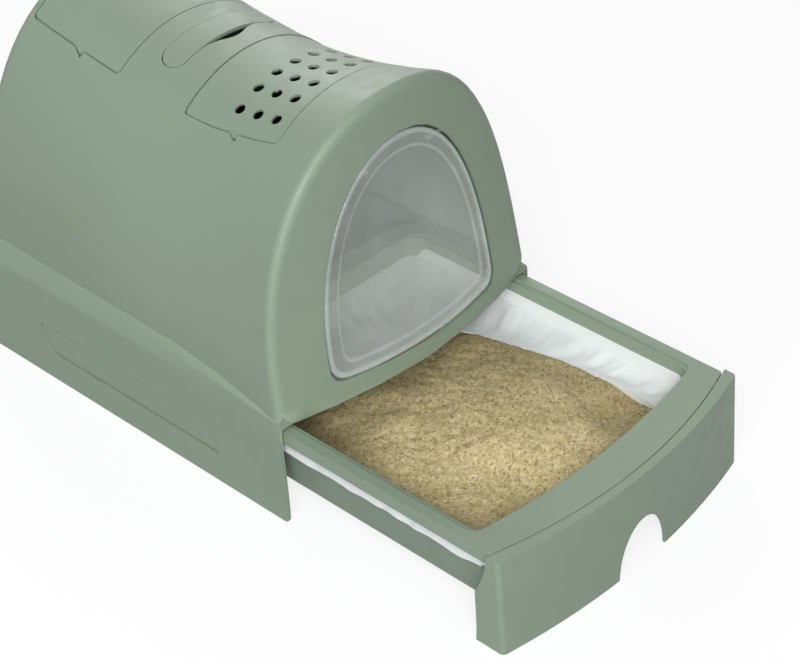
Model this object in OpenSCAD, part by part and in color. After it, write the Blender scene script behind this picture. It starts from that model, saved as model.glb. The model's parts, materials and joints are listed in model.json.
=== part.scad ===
// Drawer litter box: an arched hood with a clear swinging door, a vented filter lid, a
// storage lid and a lift-out carrying strap, over a litter drawer that slides out in front.
// Millimetres. X runs across the box, -Y is the front where the drawer comes out, +Z is up.
// The origin is on the floor under the middle of the hood. The drawer stands part way out.

/* [Hood] */
// Width of the skirt, the widest part of the hood
hood_w = 400; // [380:1:430]
// Length of the skirt where it meets the floor
hood_l = 486; // [470:1:520]
// Wall of the hood moulding
hood_wall = 3.2; // [2.6:0.1:4]
// Height of the roof at its lowest, half way along
crest_h = 389; // [375:1:400]
// How far the arch stands in from the skirt half way along
arch_in = 16.5; // [14:0.5:22]
// Height where the arch springs from the ledge
ledge_z = 133; // [128:1:138]
// Width of the ledge's slope
ledge_w = 16; // [12:1:20]
// How far the ledge falls towards its outer fold
ledge_fall = 15; // [10:1:20]
// Radius of the arch's rear edge
rear_round = 13; // [8:1:16]
// Roundness of the front rim
rim_round = 9; // [5:0.5:12]
// Height of the hood's lower edge above the drawer
mouth_z = 113; // [112.5:0.5:116]

/* [Face] */
// How far the face bulges forward in the middle
face_bulge = 23.7; // [15:0.1:30]
// Lean of the face at its foot, run over rise
face_lean = 0.28; // [0.2:0.01:0.32]

/* [Door] */
// Width of the clear door
door_w = 256; // [230:1:266]
// Height of the clear door
door_h = 230; // [215:1:234]
// Height of the door's lowest point above the floor
door_foot_z = 132.3; // [130:0.1:138]
// Gap between the door and its opening
door_gap = 3; // [2.8:0.1:3.5]
// Thickness of the clear sheet
door_sheet = 2.4; // [1.8:0.1:3]
// Thickness of the door's rounded rim
door_bead = 5.4; // [4:0.1:7]
// Radius of the door's pivot pins
door_pin_r = 1.6; // [1.4:0.1:1.8]

/* [Lids] */
// Length of each roof lid along the roof
lid_l = 130; // [110:1:132]
// Distance from the middle of the roof to a lid's near edge
lid_half = 102; // [90:1:106]
// Thickness of the lids
lid_t = 3.2; // [2.4:0.1:3.4]
// Seam round each lid
lid_seam = 1.5; // [1.4:0.1:1.8]
// Middle of the vented lid along the roof
vent_lid_y = -70; // [-74:1:-66]
// Middle of the storage lid along the roof
store_lid_y = 159; // [156:1:162]
// Depth of each lid's pivot below the roof
pivot_deep = 6.5; // [6.4:0.1:7.4]
// Radius of the lid pivot stubs
lid_pin_r = 1.7; // [1.4:0.1:1.8]
// Vent holes across the lid
vent_across = 7; // [3:1:7]
// Spacing of the vent holes across the lid
vent_pitch_x = 27; // [22:1:28]
// Spacing of the vent holes along the lid
vent_pitch_y = 25.5; // [18:0.5:30]
// Diameter of a vent hole
vent_d = 12; // [8:0.5:14]

/* [Roof wells] */
// Depth of the filter well's floor below the roof's crest
filter_depth = 76; // [70:1:78]
// Depth of the storage bin's floor below the roof's crest
bin_depth = 96; // [80:1:120]
// Wall of the wells under the roof
well_wall = 2; // [1.6:0.1:3]
// Thickness of the carbon pad
pad_t = 12; // [8:0.5:14]

/* [Carrying strap] */
// Length of the strap across the roof
strap_l = 150; // [130:1:160]
// Width of the strap
strap_w = 31; // [26:1:34]
// Thickness of the strap
strap_t = 4; // [3:0.5:5]
// Middle of the strap along the roof
strap_y = 49; // [46:1:52]
// How far the strap lifts
strap_lift = 20; // [12:1:24]
// Depth of the finger slit beside the strap
slit_w = 12; // [6:0.5:14]

/* [Drawer] */
// How far the drawer stands out
drawer_out = 248; // [200:1:300]
// How much narrower the tray is at its floor than at its rim, on each side
tray_taper = 18; // [17:0.5:24]
// How far the tray's rim stands in from the litter frame's edge
tray_side = 6; // [5:0.5:8]
// Length of the tray
tray_l = 424; // [400:1:440]
// Height of the tray's underside above the floor
tray_z = 27; // [22:0.5:34]
// Wall of the tray
tray_wall = 2.6; // [2:0.1:3.5]
// How far the litter frame stands in from the skirt's outer side
frame_side = 6; // [5:0.5:8]
// Height of the litter frame's top
frame_z = 109; // [107:0.5:110]
// Thickness of the frame's top
frame_t = 2.6; // [2:0.1:3.5]
// Lowest point of the frame's inner skirt
frame_skirt_z = 82; // [78:0.5:90]
// Sag of the front panel's arc
panel_sag = 24; // [16:0.5:30]
// Wall of the front panel
panel_wall = 3; // [2.4:0.1:4]
// Width of the strip that closes the top of the front panel
panel_strip = 10; // [8:0.5:14]
// How much further forward the panel is at the floor than at its top
panel_lean = 15; // [8:0.5:20]
// Width of the hand notch under the front panel
notch_w = 78; // [60:1:110]
// Height of the hand notch
notch_h = 56; // [40:1:66]

/* [Litter] */
// Height of the litter's surface
litter_z = 77; // [60:0.5:79]
// Thickness of the bag that lines the tray
liner_t = 1.2; // [0.8:0.1:1.5]

/* [Base] */
// Thickness of the base plate
base_t = 2.6; // [2:0.1:4]
// Height of the base plate's underside above the floor
base_z = 3; // [2:0.5:6]
// Diameter of the screws that hold the base
screw_d = 4; // [3:0.5:5]

/* [Clearances] */
// Gap between pieces that seat on each other
seat_gap = 0.4; // [0.3:0.05:0.6]
// Radial gap of a pin in its bore
pin_gap = 0.06; // [0.03:0.01:0.09]
// Gap between the drawer and what it slides along
slide_gap = 0.5; // [0.4:0.1:1]
// Seam between the litter frame and the front panel
panel_seam = 1; // [0.8:0.1:1.6]

/* [Hidden] */
$fn = 48;

sage = [0.55, 0.63, 0.56];
eps = 0.01;
big = 1000;

hood_half = hood_w / 2;
arch_half = hood_half - arch_in;
frame_half = hood_half - frame_side;
tray_rim_half = frame_half - tray_side;
tray_foot_half = tray_rim_half - tray_taper;
front_y = -hood_l / 2;
rear_y = hood_l / 2;
// the front edge of the skirt leans: it stands this far back at the height of the mouth
skirt_lean = 11.5;
skirt_front_y = front_y + skirt_lean;
ledge_out_z = ledge_z - ledge_fall;

// ---- the arch of the hood ---------------------------------------------------------------
arch_steps = 34;
waist_y = -18.5;
rear_wall_y = rear_y - 3;

// from the waist the crest rises towards both ends, as the square of the run in tenths of a metre
front_rise = 8.7;
rear_rise = 4.1;
// the sides flare out towards the front rim and draw in a little towards the rear
rim_set = 0.9;
front_flare = (hood_half - rim_set - arch_half) / 4.5;
rear_flare = -0.25;
// the arch is a little fuller than an ellipse, most of all at its ends
waist_fullness = 2.06;
end_fullness = 0.24;
end_run = 2.3;

function run_from_waist(y) = (y - waist_y) / 100;
function crest(y) = crest_h + (y < waist_y ? front_rise : rear_rise) * pow(run_from_waist(y), 2);
function arch_side(y) = arch_half
    + (y < waist_y ? front_flare : rear_flare) * pow(run_from_waist(y), 2);
function fullness(y) = waist_fullness + end_fullness * min(1, abs(run_from_waist(y)) / end_run);

// the face: bulged in plan and leaning back as it rises, less and less steeply
face_curl = 0.000314;
face_flat_half = hood_half - 8;
function face_y(x, z) = skirt_front_y - rim_set
    - face_bulge * (1 - pow(x / face_flat_half, 2))
    + face_lean * (z - mouth_z) - face_curl * pow(z - mouth_z, 2);

// height of the roof at x and y, a given depth inside the outer surface
function roof_z(x, y, depth = 0) =
    let (a = arch_side(y) - depth, p = fullness(y))
    ledge_z + (crest(y) - depth - ledge_z) * pow(max(0, 1 - pow(min(1, abs(x) / a), p)), 1 / p);
function roof_slope(x, y, depth = 0) =
    atan2(roof_z(x - 0.5, y, depth) - roof_z(x + 0.5, y, depth), 1);

// one point of the arch: angle t runs from 180 at the left spring to 0 at the right
function arch_point(t, y, depth) =
    let (p = fullness(y), c = cos(t), s = sin(t))
    [sign(c) * (arch_side(y) - depth) * pow(abs(c), 2 / p),
     y,
     ledge_z + (crest(y) - depth - ledge_z) * pow(abs(s), 2 / p)];

// where the arch meets the face, found by stepping towards it
function meet(t, depth, y, left) = left == 0 ? y :
    let (q = arch_point(t, y, depth)) meet(t, depth, face_y(q[0], q[2]) + depth, left - 1);

function rim_start(t, depth) = meet(t, depth, skirt_front_y, 7);

function mix(a, b, k) = a + (b - a) * k;
function bezier(a, b, c, k) = mix(mix(a, b, k), mix(b, c, k), k);

arch_angles = [for (i = [0:arch_steps]) 180 - 180 * i / arch_steps];
function closed_down(points, z) = concat(
    [[points[0][0], points[0][1], z]], points,
    [[points[len(points) - 1][0], points[len(points) - 1][1], z]]);
function shrunk(q, k, foot, depth) =
    let (x = q[0] * k, z = foot + (q[2] - foot) * k) [x, face_y(x, z) + depth, z];

face_in = 0.95;
function hood_rings(depth, foot) =
    let (
        corner = [for (t = arch_angles) arch_point(t, rim_start(t, depth), depth)],
        inset = [for (q = corner) shrunk(q, face_in, foot, depth)],
        behind = [for (t = arch_angles) arch_point(t, rim_start(t, depth) + rim_round, depth)],
        back = rear_wall_y - depth,
        turn = rear_round - depth
    )
    concat(
        [for (k = [0.02, 0.35, 0.65, 0.85])
            closed_down([for (q = corner) shrunk(q, k, foot, depth)], foot)],
        [for (k = depth == 0 ? [0:0.25:1] : [1])
            closed_down([for (i = [0:arch_steps])
                depth == 0 ? bezier(inset[i], corner[i], behind[i], k) : corner[i]], foot)],
        [for (u = [0.08, 0.2, 0.34, 0.5, 0.66, 0.83, 1])
            closed_down([for (t = arch_angles)
                arch_point(t, mix(rim_start(t, depth) + rim_round, back - turn, u), depth)], foot)],
        [for (f = [22.5:22.5:90])
            closed_down([for (t = arch_angles)
                let (q = arch_point(t, back - turn, depth + turn * (1 - cos(f))))
                [q[0], back - turn * (1 - sin(f)), q[2]]], foot)]);

// the end of a skin: one face, or a row of quads from side to side where the ring is a crescent
function cap(n, first, crescent) = crescent
    ? [for (j = [0:n / 2 - 2]) [first + j, first + j + 1, first + n - 2 - j, first + n - 1 - j]]
    : [[for (j = [0:n - 1]) first + j]];
function turned_round(faces) = [for (f = faces) [for (i = [len(f) - 1:-1:0]) f[i]]];
// skins a row of closed rings, each clockwise when seen from its start
module skin(rings, crescent = false) {
    n = len(rings[0]);
    m = len(rings);
    polyhedron(
        points = [for (r = rings) each r],
        faces = concat(
            cap(n, 0, crescent),
            [for (i = [0:m - 2], j = [0:n - 1])
                [i * n + j, (i + 1) * n + j, (i + 1) * n + (j + 1) % n]],
            [for (i = [0:m - 2], j = [0:n - 1])
                [i * n + j, (i + 1) * n + (j + 1) % n, i * n + (j + 1) % n]],
            turned_round(cap(n, (m - 1) * n, crescent))));
}

// extrudes a shape drawn in (y, z) across the box
module across(x0, x1) {
    translate([x0, 0, 0]) rotate([90, 0, 90]) linear_extrude(x1 - x0) children();
}
// extrudes a shape drawn in (x, z) along the box
module along(y0, y1) {
    translate([0, y1, 0]) rotate([90, 0, 0]) linear_extrude(y1 - y0) children();
}
module upright(z0, z1) { translate([0, 0, z0]) linear_extrude(z1 - z0) children(); }

// a rectangle with round corners, made of plain circles and squares so that it stays exact
module round_box(x0, x1, y0, y1, r) {
    translate([x0 + r, y0]) square([x1 - x0 - 2 * r, y1 - y0]);
    translate([x0, y0 + r]) square([x1 - x0, y1 - y0 - 2 * r]);
    for (x = [x0 + r, x1 - r], y = [y0 + r, y1 - r]) translate([x, y]) circle(r);
}

// ---- hood -------------------------------------------------------------------------------
skirt_corner = 26;

// the ledge's slope runs on inside the arch, so that the arch always meets it on the slope
ledge_run = 26;
ledge_top_z = ledge_out_z + ledge_run * ledge_fall / ledge_w;
module skirt_section(inset, foot) {
    h = hood_half - inset;
    a = hood_half - ledge_run - inset;
    polygon([[-h, foot], [h, foot], [h, ledge_out_z - inset], [a, ledge_top_z - inset],
        [-a, ledge_top_z - inset], [-h, ledge_out_z - inset]]);
}
module skirt_side(inset, foot, front) {
    polygon([[front, foot], [rear_y - inset, foot], [rear_y - inset, ledge_out_z - inset],
        [rear_y - ledge_run - inset, ledge_top_z - inset], [front, ledge_top_z - inset]]);
}
// the leaning front edge of the skirt with its rounded lower corner
foot_corner = 5;
function skirt_edge_y(z) = z > mouth_z - 20 ? skirt_front_y
    : front_y + 1 + (skirt_lean - 1) * pow(min(1, max(0, z - 6) / (mouth_z - 26)), 1.25);
skirt_edge = concat(
    [for (f = [0:22.5:90]) [front_y + 1 + foot_corner * (1 - sin(f)), foot_corner * (1 - cos(f))]],
    [for (z = [12:12:96]) [skirt_edge_y(z), z]],
    [[face_y(hood_half, mouth_z), mouth_z], [face_y(hood_half, ledge_top_z) + 1, ledge_top_z]]);

module skirt_outer() {
    intersection() {
        along(front_y, rear_y) skirt_section(0, 0);
        across(-hood_half, hood_half) skirt_side(0, 0, front_y);
        across(-hood_half, hood_half)
            polygon(concat(skirt_edge, [[rear_y, ledge_top_z], [rear_y, 0]]));
        upright(0, ledge_top_z) round_box(-hood_half, hood_half, front_y - skirt_corner, rear_y,
            skirt_corner);
    }
}
module skirt_inner() {
    intersection() {
        along(skirt_front_y + hood_wall + rim_round, rear_y) skirt_section(hood_wall, -1);
        across(-hood_half, hood_half) skirt_side(hood_wall, -1, front_y);
        upright(-1, ledge_top_z) round_box(-hood_half + hood_wall, hood_half - hood_wall,
            front_y - skirt_corner, rear_y - hood_wall, skirt_corner - hood_wall);
    }
    translate([-hood_half + hood_wall, front_y - 60, -1])
        cube([hood_w - 2 * hood_wall, hood_l / 2, mouth_z + 1]);
}

// the shallow finger recess on each side of the skirt, point symmetric about its middle
recess_depth = 1.6;
recess_y = [-139, 137];
recess_z = [36, 69];
recess_sweep = 27;
module recess_outline() {
    rise = recess_z[1] - recess_z[0];
    polygon(concat(
        [for (f = [0:-15:-90]) [recess_y[1] - recess_sweep + recess_sweep * cos(f),
            recess_z[1] + rise * sin(f)]],
        [for (f = [180:-15:90]) [recess_y[0] + recess_sweep + recess_sweep * cos(f),
            recess_z[0] + rise * sin(f)]]));
}

// ---- door outline -----------------------------------------------------------------------
door_half = door_w / 2;
door_top_z = door_foot_z + door_h;
door_spring_z = door_foot_z + 23;
door_fullness = 2.08;
door_foot_half = door_half - 21;
door_foot_rise = 4.6;
door_mid_z = door_foot_z + 0.45 * door_h;

// outline of the door, clockwise from its lower left, grown all round by g
function door_arch(g) = [for (t = [180:-9:0])
    [sign(cos(t)) * (door_half + g) * pow(abs(cos(t)), 2 / door_fullness),
     door_spring_z + (door_top_z + g - door_spring_z) * pow(abs(sin(t)), 2 / door_fullness)]];
function door_corner(g, side) = [for (k = side > 0 ? [0.2:0.2:1] : [1:-0.2:0.2])
    let (q = bezier([door_half + g, door_spring_z],
        [door_half + g - 0.5, door_foot_z + 5.5 - g],
        [door_foot_half + g / 2, door_foot_z + door_foot_rise - g], k)) [side * q[0], q[1]]];
function door_foot(g) = [for (k = [0.8:-0.2:-0.8])
    [k * (door_foot_half + g / 2), door_foot_z - g + door_foot_rise * k * k]];
function door_outline(g) = concat(door_arch(g), door_corner(g, 1), door_foot(g),
    door_corner(g, -1));

// ---- seats in the roof ------------------------------------------------------------------
function lid_y0(mid) = mid - lid_l / 2;
function lid_y1(mid) = mid + lid_l / 2;
// each lid turns on stubs under its far edge; their line follows the rise of the roof
lid_far = lid_half;
hang_x = lid_far - 10;
function hang_tilt(mid) = roof_slope(hang_x, mid);
function pivot_x(mid) = hang_x - pivot_deep * sin(hang_tilt(mid));
function pivot_z(mid, y) = roof_z(hang_x, y) - pivot_deep * cos(hang_tilt(mid));
function pivot_rise(mid) = atan2(
    pivot_z(mid, lid_y1(mid)) - pivot_z(mid, lid_y0(mid)), lid_l);
// draws along the pivot line, whose z = 0 is at the lid's front end
module on_pivot(mid) {
    translate([pivot_x(mid), lid_y0(mid), pivot_z(mid, lid_y0(mid))])
        rotate([pivot_rise(mid) - 90, 0, 0]) children();
}

lid_corner = 4;
notch_half = 7.5;
notch_deep = 6.4;
notch_shift = -6;
// a small finger notch in the near edge, deepest at its front end; the lid's own tab fills it
// but for the tip
module finger_notch(mid, tab = false) {
    h = notch_half;
    translate([-lid_half, mid + notch_shift]) polygon(tab
        ? [[1, h - 0.5], [0, h - 0.5], [-notch_deep / 2, -1], [-0.2, -h + 1.3], [1, -h + 1.3]]
        : [[1, h + 1], [0, h + 1], [-notch_deep, -h + 2.5], [-notch_deep, -h + 1], [0, -h],
            [1, -h]]);
}
module lid_opening(mid) {
    g = lid_seam;
    round_box(-lid_half - g, lid_far + g, lid_y0(mid) - g, lid_y1(mid) + g, lid_corner + g);
    finger_notch(mid);
}
strap_half = strap_l / 2;
module strap_outline(g) {
    round_box(-strap_half - g, strap_half + g, strap_y - strap_w / 2 - g,
        strap_y + strap_w / 2 + g, strap_w / 2 + g - eps);
}
// the finger slit: a crescent that is deepest at the crest
slit_half = strap_half - 9;
slit_spread = 24;
module finger_slit() {
    y = strap_y - strap_w / 2;
    polygon(concat(
        [for (k = [-1:1/12:1]) let (x = k * slit_half)
            [x, y - 0.2 - slit_w * exp(-pow(x / slit_spread, 2))]],
        [[slit_half, y + 2], [-slit_half, y + 2]]));
}

module hood_shell() color(sage) {
    difference() {
        union() {
            skin(hood_rings(0, mouth_z));
            skirt_outer();
        }
        skin(hood_rings(hood_wall, mouth_z - 1));
        skirt_inner();
        along(front_y - 60, waist_y) polygon(door_outline(door_gap));
        pin_groove();
        upright(ledge_z + 60, big) lid_opening(vent_lid_y);
        upright(ledge_z + 60, big) lid_opening(store_lid_y);
        upright(ledge_z + 60, big) strap_outline(0.6);
        upright(ledge_z + 60, big) finger_slit();
        for (side = [-1, 1])
            across(side * hood_half - recess_depth, side * hood_half + recess_depth)
                recess_outline();
    }
    base_posts();
}

// ---- base -------------------------------------------------------------------------------
post_r = 6;
post_x = hood_half - hood_wall - post_r + 1;
base_front = front_y + 60;
post_in = 40;
post_ys = [base_front + post_in / 2, 0, rear_y - post_in];
post_top = 60;
base_top = base_z + base_t;
screw_r = screw_d / 2;
screw_head_r = screw_r + 1.6;
screw_l = 16;

module base_posts() {
    for (side = [-1, 1], y = post_ys) difference() {
        translate([side * post_x, y, base_top + seat_gap])
            cylinder(h = post_top - base_top, r = post_r);
        translate([side * post_x, y, base_z]) cylinder(h = screw_l + 6, r = screw_r + pin_gap);
    }
}
rail_half = tray_foot_half + 3;
rail_top = tray_z + 5;
runner_xs = [for (k = [-2:2]) k * rail_half * 0.39];
foot_r = 9;
foot_in = 20;

module base_pan() color([0.42, 0.48, 0.43]) {
    edge = hood_half - hood_wall - seat_gap;
    y0 = base_front;
    y1 = rear_y - hood_wall - seat_gap;
    difference() {
        upright(base_z, base_top)
            round_box(-edge, edge, y0, y1, skirt_corner - hood_wall - seat_gap);
        for (side = [-1, 1], y = post_ys)
            translate([side * post_x, y, base_z - 1]) cylinder(h = base_t + 2, r = screw_r + 0.2);
    }
    // runners that the tray slides on, and a guide rail on each side of it
    for (x = runner_xs)
        translate([x - 1.5, y0 + 4, base_top - eps]) cube([3, y1 - y0 - 8, tray_z - slide_gap - base_top]);
    for (side = [-1, 1])
        translate([side * (rail_half + 1.25) - 1.25, y0 + 4, base_top - eps])
            cube([2.5, y1 - y0 - 8, rail_top - base_top]);
    // feet under the plate
    for (x = [-1, 0, 1] * (hood_half - 50), y = [y0 + foot_in, 0, y1 - foot_in])
        translate([x, y, 0]) cylinder(h = base_z + eps, r = foot_r);
}

module base_screws() color("silver") {
    for (side = [-1, 1], y = post_ys) translate([side * post_x, y, 0]) {
        translate([0, 0, base_z - 2]) cylinder(h = 2, r = screw_head_r);
        translate([0, 0, base_z - 2]) cylinder(h = screw_l + 2, r = screw_r);
    }
}

// ---- door -------------------------------------------------------------------------------
// the pins lie in the thickness of the door's rim, where its outline crosses their height, so
// that the rim clears the hood as it swings; each pin runs in a groove behind the hood's skin
door_axis_z = door_top_z - 25;
pin_x0 = 53;
lug_x0 = 46;
bearing_x0 = 69.5;
bearing_x1 = 74;
pin_skin = 1;
pin_clear = 0.3;
door_axis_y = face_y(bearing_x1, door_axis_z + door_pin_r) + pin_skin + pin_clear + door_pin_r;
bearing_half = 4.2;
bearing_front = face_y(bearing_x1, door_axis_z + bearing_half) + hood_wall + seat_gap;
bearing_back = door_axis_y + door_pin_r + 1.9;
tongue_half = door_pin_r + 1;
module pin_groove() {
    half = tongue_half + pin_clear;
    for (side = [-1, 1]) translate([side > 0 ? pin_x0 : -bearing_x1 - pin_clear,
        door_axis_y - door_pin_r - pin_clear, door_axis_z - half])
        cube([bearing_x1 + pin_clear - pin_x0, 2 * hood_wall, 2 * half]);
}

function door_ring(k, depth, g = 0) = [for (q = door_outline(g))
    let (x = q[0] * k, z = door_mid_z + (q[1] - door_mid_z) * k) [x, face_y(x, z) + depth, z]];

module door_flap() color([0.86, 0.9, 0.92, 0.4]) {
    step = 0.8;
    skin([
        door_ring(0.02, 1.2 + step), door_ring(0.5, 1.2 + step), door_ring(0.865, 1.2 + step),
        door_ring(0.88, 1.2), door_ring(0.955, 1.2), door_ring(0.965, 0),
        door_ring(0.99, -0.3), door_ring(1, 1.5), door_ring(1, door_bead - 1.6),
        door_ring(0.99, door_bead - 0.4), door_ring(0.965, door_bead - 0.6),
        door_ring(0.955, 1.2 + door_sheet), door_ring(0.88, 1.2 + door_sheet),
        door_ring(0.865, 1.2 + door_sheet + step), door_ring(0.5, 1.2 + door_sheet + step),
        door_ring(0.02, 1.2 + door_sheet + step)]);
    // a lug behind each shoulder carries the pin
    for (side = [-1, 1]) {
        translate([side > 0 ? lug_x0 : -pin_x0 - 1, door_axis_y, door_axis_z]) rotate([0, 90, 0])
            cylinder(h = pin_x0 + 1 - lug_x0, r = 2 * door_pin_r);
        translate([side > 0 ? pin_x0 : -bearing_x1, door_axis_y, door_axis_z]) rotate([0, 90, 0])
            cylinder(h = bearing_x1 - pin_x0, r = door_pin_r);
    }
}

// each bearing is a clip behind the hood whose open-fronted tongue holds the pin in its groove
module flap_bearings() color(sage) {
    l = bearing_x1 - bearing_x0;
    tongue_front = door_axis_y - door_pin_r / 2;
    for (side = [-1, 1]) translate([side > 0 ? bearing_x0 : -bearing_x1, 0, door_axis_z])
        difference() {
            union() {
                translate([0, bearing_front, -bearing_half])
                    cube([l, bearing_back - bearing_front, 2 * bearing_half]);
                translate([0, tongue_front, -tongue_half])
                    cube([l, bearing_back - tongue_front, 2 * tongue_half]);
            }
            translate([-1, door_axis_y, 0]) rotate([0, 90, 0])
                cylinder(h = l + 2, r = door_pin_r + pin_gap);
        }
}

// ---- roof pieces ------------------------------------------------------------------------
// a plate between two depths under the roof, with rounded corners
function edge_x(half, r, y, y0, y1) =
    let (d = min(r, y - y0, y1 - y)) half - r + sqrt(max(0, r * r - pow(r - d, 2)));
function plate_stations(y0, y1, r) = with_turn(concat(
    [for (f = [0:30:90]) y0 + r * (1 - cos(f))],
    [for (k = [1:5]) y0 + r + (y1 - y0 - 2 * r) * k / 6],
    [for (f = [90:-30:0]) y1 - r * (1 - cos(f))]));
// what lies under the roof also follows its rounded rear edge
roof_turn_y = rear_wall_y - rear_round;
function turned_z(x, y, depth) = y <= roof_turn_y ? roof_z(x, y, depth) :
    let (r = rear_round - depth)
    roof_z(x, roof_turn_y, depth + r - sqrt(max(0, r * r - pow(y - roof_turn_y, 2))));
function with_turn(ys) = ys[0] >= roof_turn_y || ys[len(ys) - 1] <= roof_turn_y ? ys : concat(
    [for (y = ys) if (y < roof_turn_y - 1) y], [roof_turn_y],
    [for (y = ys) if (y > roof_turn_y + 1) y]);
function plate_ring(y, xa, xb, top, under, n) = concat(
    [for (i = [0:n]) let (x = mix(xa, xb, i / n)) [x, y, turned_z(x, y, top)]],
    [for (i = [n:-1:0]) let (x = mix(xa, xb, i / n)) [x, y, turned_z(x, y, under)]]);
module roof_plate(y0, y1, half_a, half_b, r, top, under, n = 16) {
    skin([for (y = plate_stations(y0, y1, r))
        plate_ring(y, -edge_x(half_a, r, y, y0, y1), edge_x(half_b, r, y, y0, y1), top, under, n)],
        crescent = true);
}
// a block whose top follows the roof at a depth and whose bottom is flat
function block_ring(y, x0, x1, z, depth, n) = concat(
    [for (i = [0:n]) let (x = mix(x0, x1, i / n)) [x, y, turned_z(x, y, depth)]],
    [[x1, y, z], [x0, y, z]]);
module roof_block(x0, x1, y0, y1, z, depth, n = 14, m = 4) {
    skin([for (y = with_turn([for (i = [0:m]) mix(y0, y1, i / m)])) block_ring(y, x0, x1, z, depth, n)]);
}

stub_l = 7;
lug_in = 4;
lug_l = 5;
lug_half = 4;
lug_neck = 3.4;
module roof_lid(mid) {
    y0 = lid_y0(mid);
    y1 = lid_y1(mid);
    roof_plate(y0, y1, lid_half, lid_far, lid_corner, 0, lid_t);
    intersection() {
        skin([for (y = [-12:12:12])
            plate_ring(mid + notch_shift + y, -lid_half - notch_deep, -lid_half + 4, 0.3,
                lid_t - 0.3, 3)], crescent = true);
        upright(ledge_z, big) finger_notch(mid, tab = true);
    }
    span = lid_l / cos(pivot_rise(mid));
    for (z = [lug_in, span - lug_in - lug_l]) on_pivot(mid)
        translate([0, 0, z]) cylinder(h = lug_l, r = lug_half);
    for (y = [y0 + lug_in, y1 - lug_in - lug_l])
        roof_block(pivot_x(mid) - lug_neck, pivot_x(mid) + lug_neck, y + 0.6, y + lug_l - 0.6,
            pivot_z(mid, y), lid_t / 2, 4, 1);
    for (z = [-stub_l, span - lug_in - 1]) on_pivot(mid)
        translate([0, 0, z]) cylinder(h = stub_l + lug_in + 1, r = lid_pin_r);
}

// the holes lie nearer the lid's front end
vent_shift = 19;
module vented_lid() color(sage) {
    mid = vent_lid_y - vent_shift;
    difference() {
        roof_lid(vent_lid_y);
        for (i = [0:vent_across - 1], j = [-1:1]) {
            x = (i - (vent_across - 1) / 2) * vent_pitch_x;
            y = mid + j * vent_pitch_y;
            translate([x, y, roof_z(x, y)]) rotate([0, roof_slope(x, y), 0])
                translate([0, 0, -12]) cylinder(h = 24, d = vent_d);
        }
    }
}
module storage_lid() color(sage) roof_lid(store_lid_y);

// a well under a lid: a tub with a collar that meets the roof and ears for the lid's stubs
well_out = 10;
collar_t = 2;
collar_in = 3;
pivot_room = 24;
ear_half = 6;
ear_l = well_out - 4;
under_roof = hood_wall + seat_gap;
module well(mid, floor_z) {
    w = well_wall;
    half = lid_half + well_out;
    y0 = lid_y0(mid) - well_out;
    y1 = lid_y1(mid) + well_out;
    difference() {
        roof_block(-half, half, y0, y1, floor_z, under_roof, m = 8);
        // the inside, up to the collar that the lid's near edge and ends rest on
        roof_block(-half + w, half - w, y0 + w, y1 - w, floor_z + w, under_roof + collar_t);
        translate([-lid_half + collar_in, lid_y0(mid) + collar_in, floor_z + w])
            cube([2 * lid_half, lid_l - 2 * collar_in, big]);
        // room round the pivot
        translate([lid_far - pivot_room, y0 + w, floor_z + w])
            cube([pivot_room + well_out - w, y1 - y0 - 2 * w, big]);
    }
    // ears on the end walls that carry the lid's stubs
    difference() {
        for (y = [y0 + w / 2, y1 - w / 2 - ear_l])
            roof_block(pivot_x(mid) - ear_half, pivot_x(mid) + ear_half, y, y + ear_l,
                pivot_z(mid, y) - ear_half, under_roof, 4, 1);
        on_pivot(mid) translate([0, 0, -well_out - 5])
            cylinder(h = lid_l + 2 * well_out + 12, r = lid_pin_r + pin_gap);
    }
}

filter_floor = crest_h - filter_depth;
bin_floor = crest_h - bin_depth;
slots = 9;
slot_w = 10;
slot_in = 12;
module filter_well() color(sage) {
    difference() {
        well(vent_lid_y, filter_floor);
        for (i = [0:slots - 1])
            translate([(2 * i - slots + 0.5) * slot_w, lid_y0(vent_lid_y) + slot_in, filter_floor - 1])
                cube([slot_w, lid_l - 2 * slot_in, well_wall + 2]);
    }
}
module storage_bin() color(sage) well(store_lid_y, bin_floor);

module carbon_filter() color([0.16, 0.16, 0.17])
    translate([-lid_half + 4, lid_y0(vent_lid_y) + 3, filter_floor + well_wall + seat_gap])
        cube([2 * lid_half - 14, lid_l - 6, pad_t]);

// ---- carrying strap ---------------------------------------------------------------------
leg_x = 52;
leg_l = [10, 14];
leg_drop = strap_lift + 26;
strap_foot = 3;
strap_proud = 0.5;
function strap_leg_z() = roof_z(leg_x, strap_y, 0) - leg_drop;
well_half = strap_half + 8;
strap_floor_z = strap_leg_z() + strap_foot + strap_lift + seat_gap;

module carry_strap() color(sage) {
    roof_plate(strap_y - strap_w / 2, strap_y + strap_w / 2, strap_half, strap_half,
        strap_w / 2 - eps, -strap_proud, strap_t - strap_proud, 14);
    for (side = [-1, 1]) {
        translate([side * leg_x - leg_l[0] / 2, strap_y - leg_l[1] / 2, strap_leg_z()])
            cube([leg_l[0], leg_l[1], roof_z(leg_x + leg_l[0] / 2, strap_y, strap_t) - strap_leg_z()]);
        translate([side * leg_x - leg_l[0] / 2 - 3, strap_y - leg_l[1] / 2, strap_leg_z()])
            cube([leg_l[0] + 6, leg_l[1], strap_foot]);
    }
}

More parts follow.
